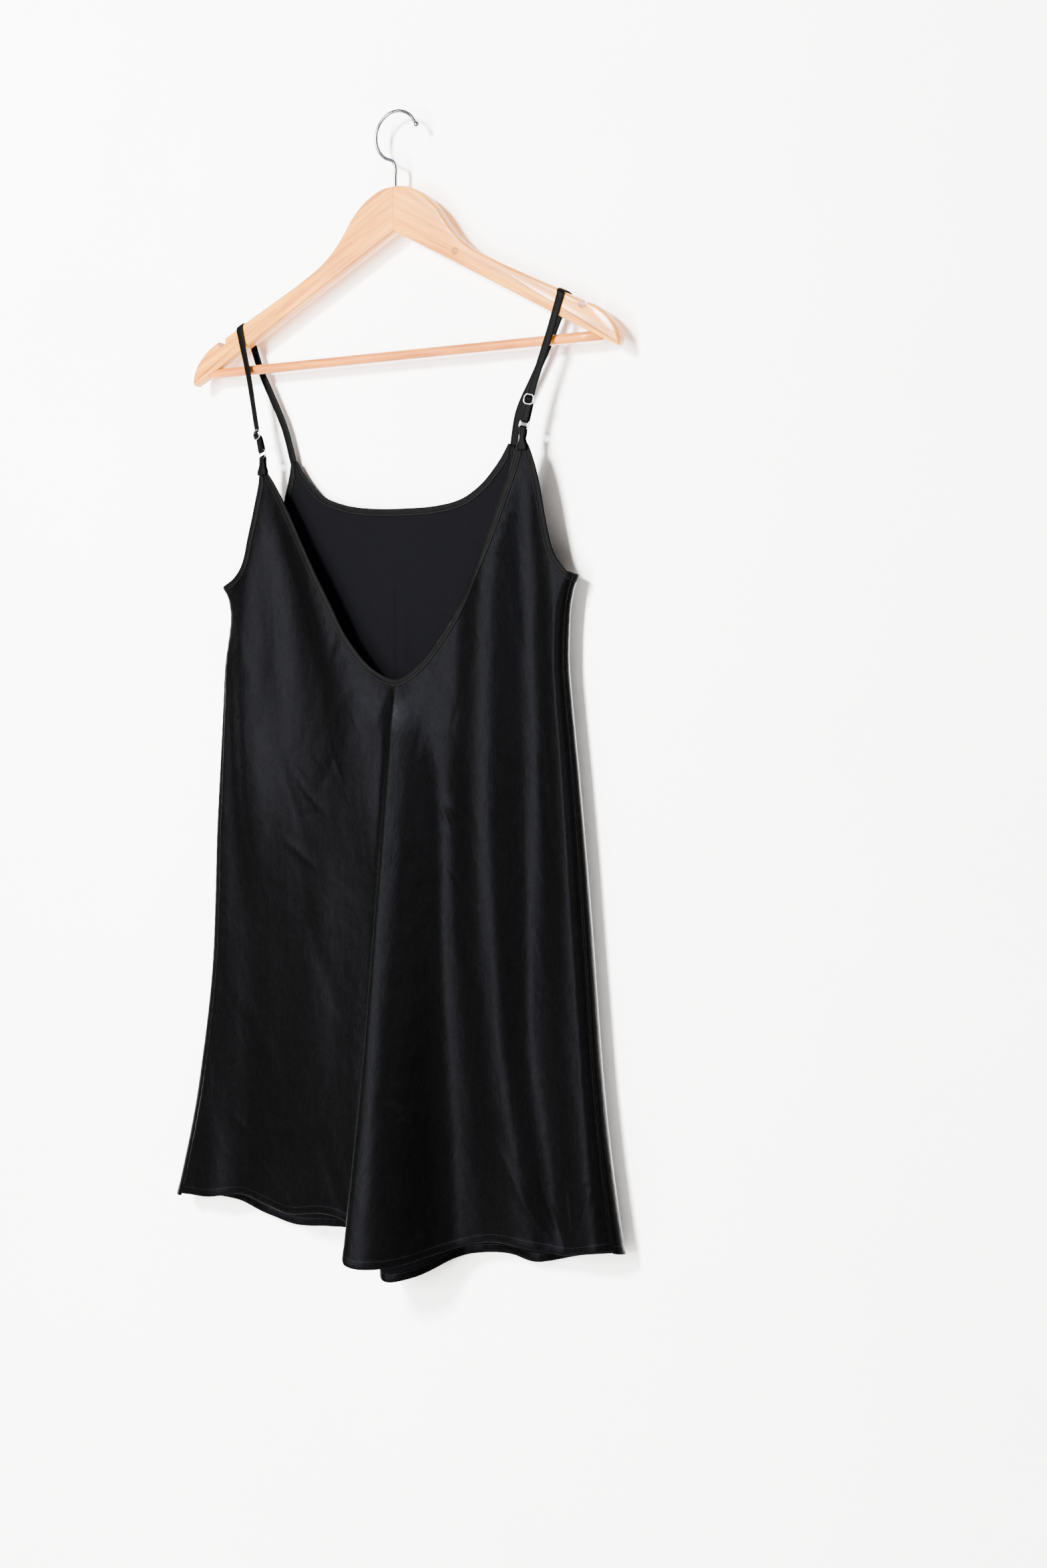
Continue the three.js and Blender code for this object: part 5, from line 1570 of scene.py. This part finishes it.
class SLIPDRESS_OT_hanger(bpy.types.Operator):
    """Make the hanger's wooden arms and bar"""

    bl_idname = "slipdress.hanger"
    bl_label = "Wooden hanger"

    def execute(self, context):
        wood = context.scene.slip_dress_hanger
        coat = (wood.growth_lines / MM, wood.lacquer)
        arm = finish("arm", lambda: lacquered_wood("lacquered_wood", wood.pale, wood.dark, *coat))
        bar = finish("bar", lambda: lacquered_wood("lacquered_dowel", wood.bar, wood.bar_dark, *coat))
        for word, side in (("left", -1), ("right", 1)):
            seat(arm_piece(f"{word}_wooden_arm", side, arm), "wood", f"hanger_arm_{word}")
        seat(bar_piece("trouser_bar", bar), "wood", "hanger_bar")
        return {"FINISHED"}


class SLIPDRESS_OT_hook(bpy.types.Operator):
    """Make the hanger's wire hook and its ball end"""

    bl_idname = "slipdress.hook"
    bl_label = "Hook"

    def execute(self, context):
        metal = context.scene.slip_dress_metal
        wire = finish("wire", lambda: polished_metal("chromed_wire", metal.chrome, metal.hook_roughness))
        line = hook_line()
        piece = new_piece("wire_hook", *wire_points(line, HOOK["wire"] / 2, 20, False), [wire])
        seat(faces_outward(piece), "hook_steel", "hook")
        centre = line[-1] + unit(line[-1] - line[-2]) * HOOK["tip"] * 0.5
        tip = new_piece("hook_ball", *ball(centre, HOOK["tip"] / 2), [wire])
        seat(faces_outward(tip), "hook_steel", "hook_tip")
        return {"FINISHED"}


class SLIPDRESS_OT_cloth_facts(bpy.types.Operator):
    bl_idname = "slipdress.cloth_facts"
    bl_label = "Cloth facts"

    def execute(self, context):
        return {"FINISHED"}


CAMERA = {"place": (1.0584, -1.6082, -0.5334), "yaw": 30.04, "down": 1.62, "lens": 50.0}
LIGHT_AIM = Vector((0.0, 0.0, -0.55))
# Degrees to the viewer's left and up, then distance from the dress, width and height in metres.
LIGHTS = {
    "key": (16, 27, 2.6, 0.45, 0.45),
    "strip": (17, -2, 2.6, 0.3, 1.7),
    "window": (36, 1, 2.6, 0.5, 0.3),
    "front": (-36, 8, 2.8, 1.0, 1.0),
    "behind": (180, 0, 2.2, 3.0, 1.6),
}


def area_light(name, power):
    """A flat light at its place round the dress, turned to it."""
    left, up, away, wide, tall = LIGHTS[name]
    left, up = math.radians(left), math.radians(up)
    way = Vector((-math.sin(left) * math.cos(up), -math.cos(left) * math.cos(up), math.sin(up)))
    data = bpy.data.lights.new(name, "AREA")
    data.shape, data.size, data.size_y, data.energy = "RECTANGLE", wide, tall, power
    light = bpy.data.objects.new(name, data)
    light.location = LIGHT_AIM + way * away
    light.rotation_euler = (LIGHT_AIM - light.location).to_track_quat("-Z", "Y").to_euler()
    bpy.context.scene.collection.objects.link(light)
    return light


class SLIPDRESS_OT_stage(bpy.types.Operator):
    """Set up the wall, the floor, the light and the camera"""

    bl_idname = "slipdress.stage"
    bl_label = "Stage"

    def execute(self, context):
        stage = context.scene.slip_dress_stage
        self.surfaces(stage)
        self.lights(context.scene, stage)
        self.camera(context.scene)
        return {"FINISHED"}

    def surfaces(self, stage):
        wall_paint, tree, shader = painted_plaster("emulsion_wall", stage.wall_colour)
        # Seen from behind, the wall lets the view through to the back of the dress.
        side = add(tree, "ShaderNodeNewGeometry").outputs["Backfacing"]
        clear = add(tree, "ShaderNodeBsdfTransparent").outputs["BSDF"]
        either = add(tree, "ShaderNodeMixShader", {"Fac": side, 1: shader.outputs["BSDF"], 2: clear})
        out = next(n for n in tree.nodes if n.type == "OUTPUT_MATERIAL")
        tree.links.new(either.outputs["Shader"], out.inputs["Surface"])
        floor_paint = painted_plaster("pale_floor", stage.floor_colour)[0]
        y, low, half = stage.wall / MM, -stage.floor / MM, 2600
        wall = [(-half, y, low), (half, y, low), (half, y, 1200), (-half, y, 1200)]
        floor = [(-half, -half, low), (half, -half, low), (half, half, low), (-half, half, low)]
        for name, corners, paint in (("back_wall", wall, wall_paint), ("pale_floor", floor, floor_paint)):
            new_piece(name, corners, [(0, 1, 2, 3)], [paint], smooth=False)

    def lights(self, scene, stage):
        lights = {name: area_light(name, getattr(stage, name)).light_linking for name in LIGHTS}
        all_but_wall = bpy.data.collections.new("all_but_wall")
        all_but_wall.objects.link(bpy.data.objects["back_wall"])
        all_but_wall.collection_objects[0].light_linking.link_state = "EXCLUDE"
        # The wall would keep the light behind from the back of the dress, and the front light is
        # kept off the wall, so that the dress's own shadow there stays dark.
        lights["behind"].blocker_collection = all_but_wall
        lights["front"].receiver_collection = all_but_wall
        world = bpy.data.worlds.new("room")
        world.use_nodes = True
        back = world.node_tree.nodes["Background"]
        back.inputs["Color"].default_value = linear("#fbf3f0")
        back.inputs["Strength"].default_value = stage.room
        scene.world = world

    def camera(self, scene):
        data = bpy.data.cameras.new("camera")
        data.lens, data.sensor_width, data.sensor_fit = CAMERA["lens"], 36.0, "AUTO"
        data.clip_start, data.clip_end = 0.05, 30.0
        camera = bpy.data.objects.new("camera", data)
        yaw, down = math.radians(CAMERA["yaw"]), math.radians(CAMERA["down"])
        way = Vector((-math.sin(yaw) * math.cos(down), math.cos(yaw) * math.cos(down), -math.sin(down)))
        camera.location = CAMERA["place"]
        camera.rotation_euler = way.to_track_quat("-Z", "Y").to_euler()
        scene.collection.objects.link(camera)
        scene.camera = camera


OPERATORS = (
    SLIPDRESS_OT_panels,
    SLIPDRESS_OT_bindings,
    SLIPDRESS_OT_straps,
    SLIPDRESS_OT_metal,
    SLIPDRESS_OT_stitching,
    SLIPDRESS_OT_hanger,
    SLIPDRESS_OT_hook,
    SLIPDRESS_OT_cloth_facts,
    SLIPDRESS_OT_stage,
)


class SLIPDRESS_PT_pieces(bpy.types.Panel):
    """The dress's pieces and their sizes"""

    bl_idname = "SLIPDRESS_PT_pieces"
    bl_label = "Slip dress"
    bl_space_type = "VIEW_3D"
    bl_region_type = "UI"
    bl_category = "Slip dress"

    def draw(self, context):
        for name, group in SETTINGS:
            box = self.layout.box()
            for key in group.__annotations__:
                box.prop(getattr(context.scene, name), key)
        for operator in OPERATORS:
            self.layout.operator(operator.bl_idname)


def register():
    for name, group in SETTINGS:
        bpy.utils.register_class(group)
        setattr(bpy.types.Scene, name, bpy.props.PointerProperty(type=group))
    for operator in OPERATORS:
        bpy.utils.register_class(operator)
    bpy.utils.register_class(SLIPDRESS_PT_pieces)


def unregister():
    bpy.utils.unregister_class(SLIPDRESS_PT_pieces)
    for operator in reversed(OPERATORS):
        bpy.utils.unregister_class(operator)
    for name, group in reversed(SETTINGS):
        delattr(bpy.types.Scene, name)
        bpy.utils.unregister_class(group)


def main():
    register()
    for operator in OPERATORS:
        group, name = operator.bl_idname.split(".")
        getattr(getattr(bpy.ops, group), name)()


if __name__ == "__main__":
    main()
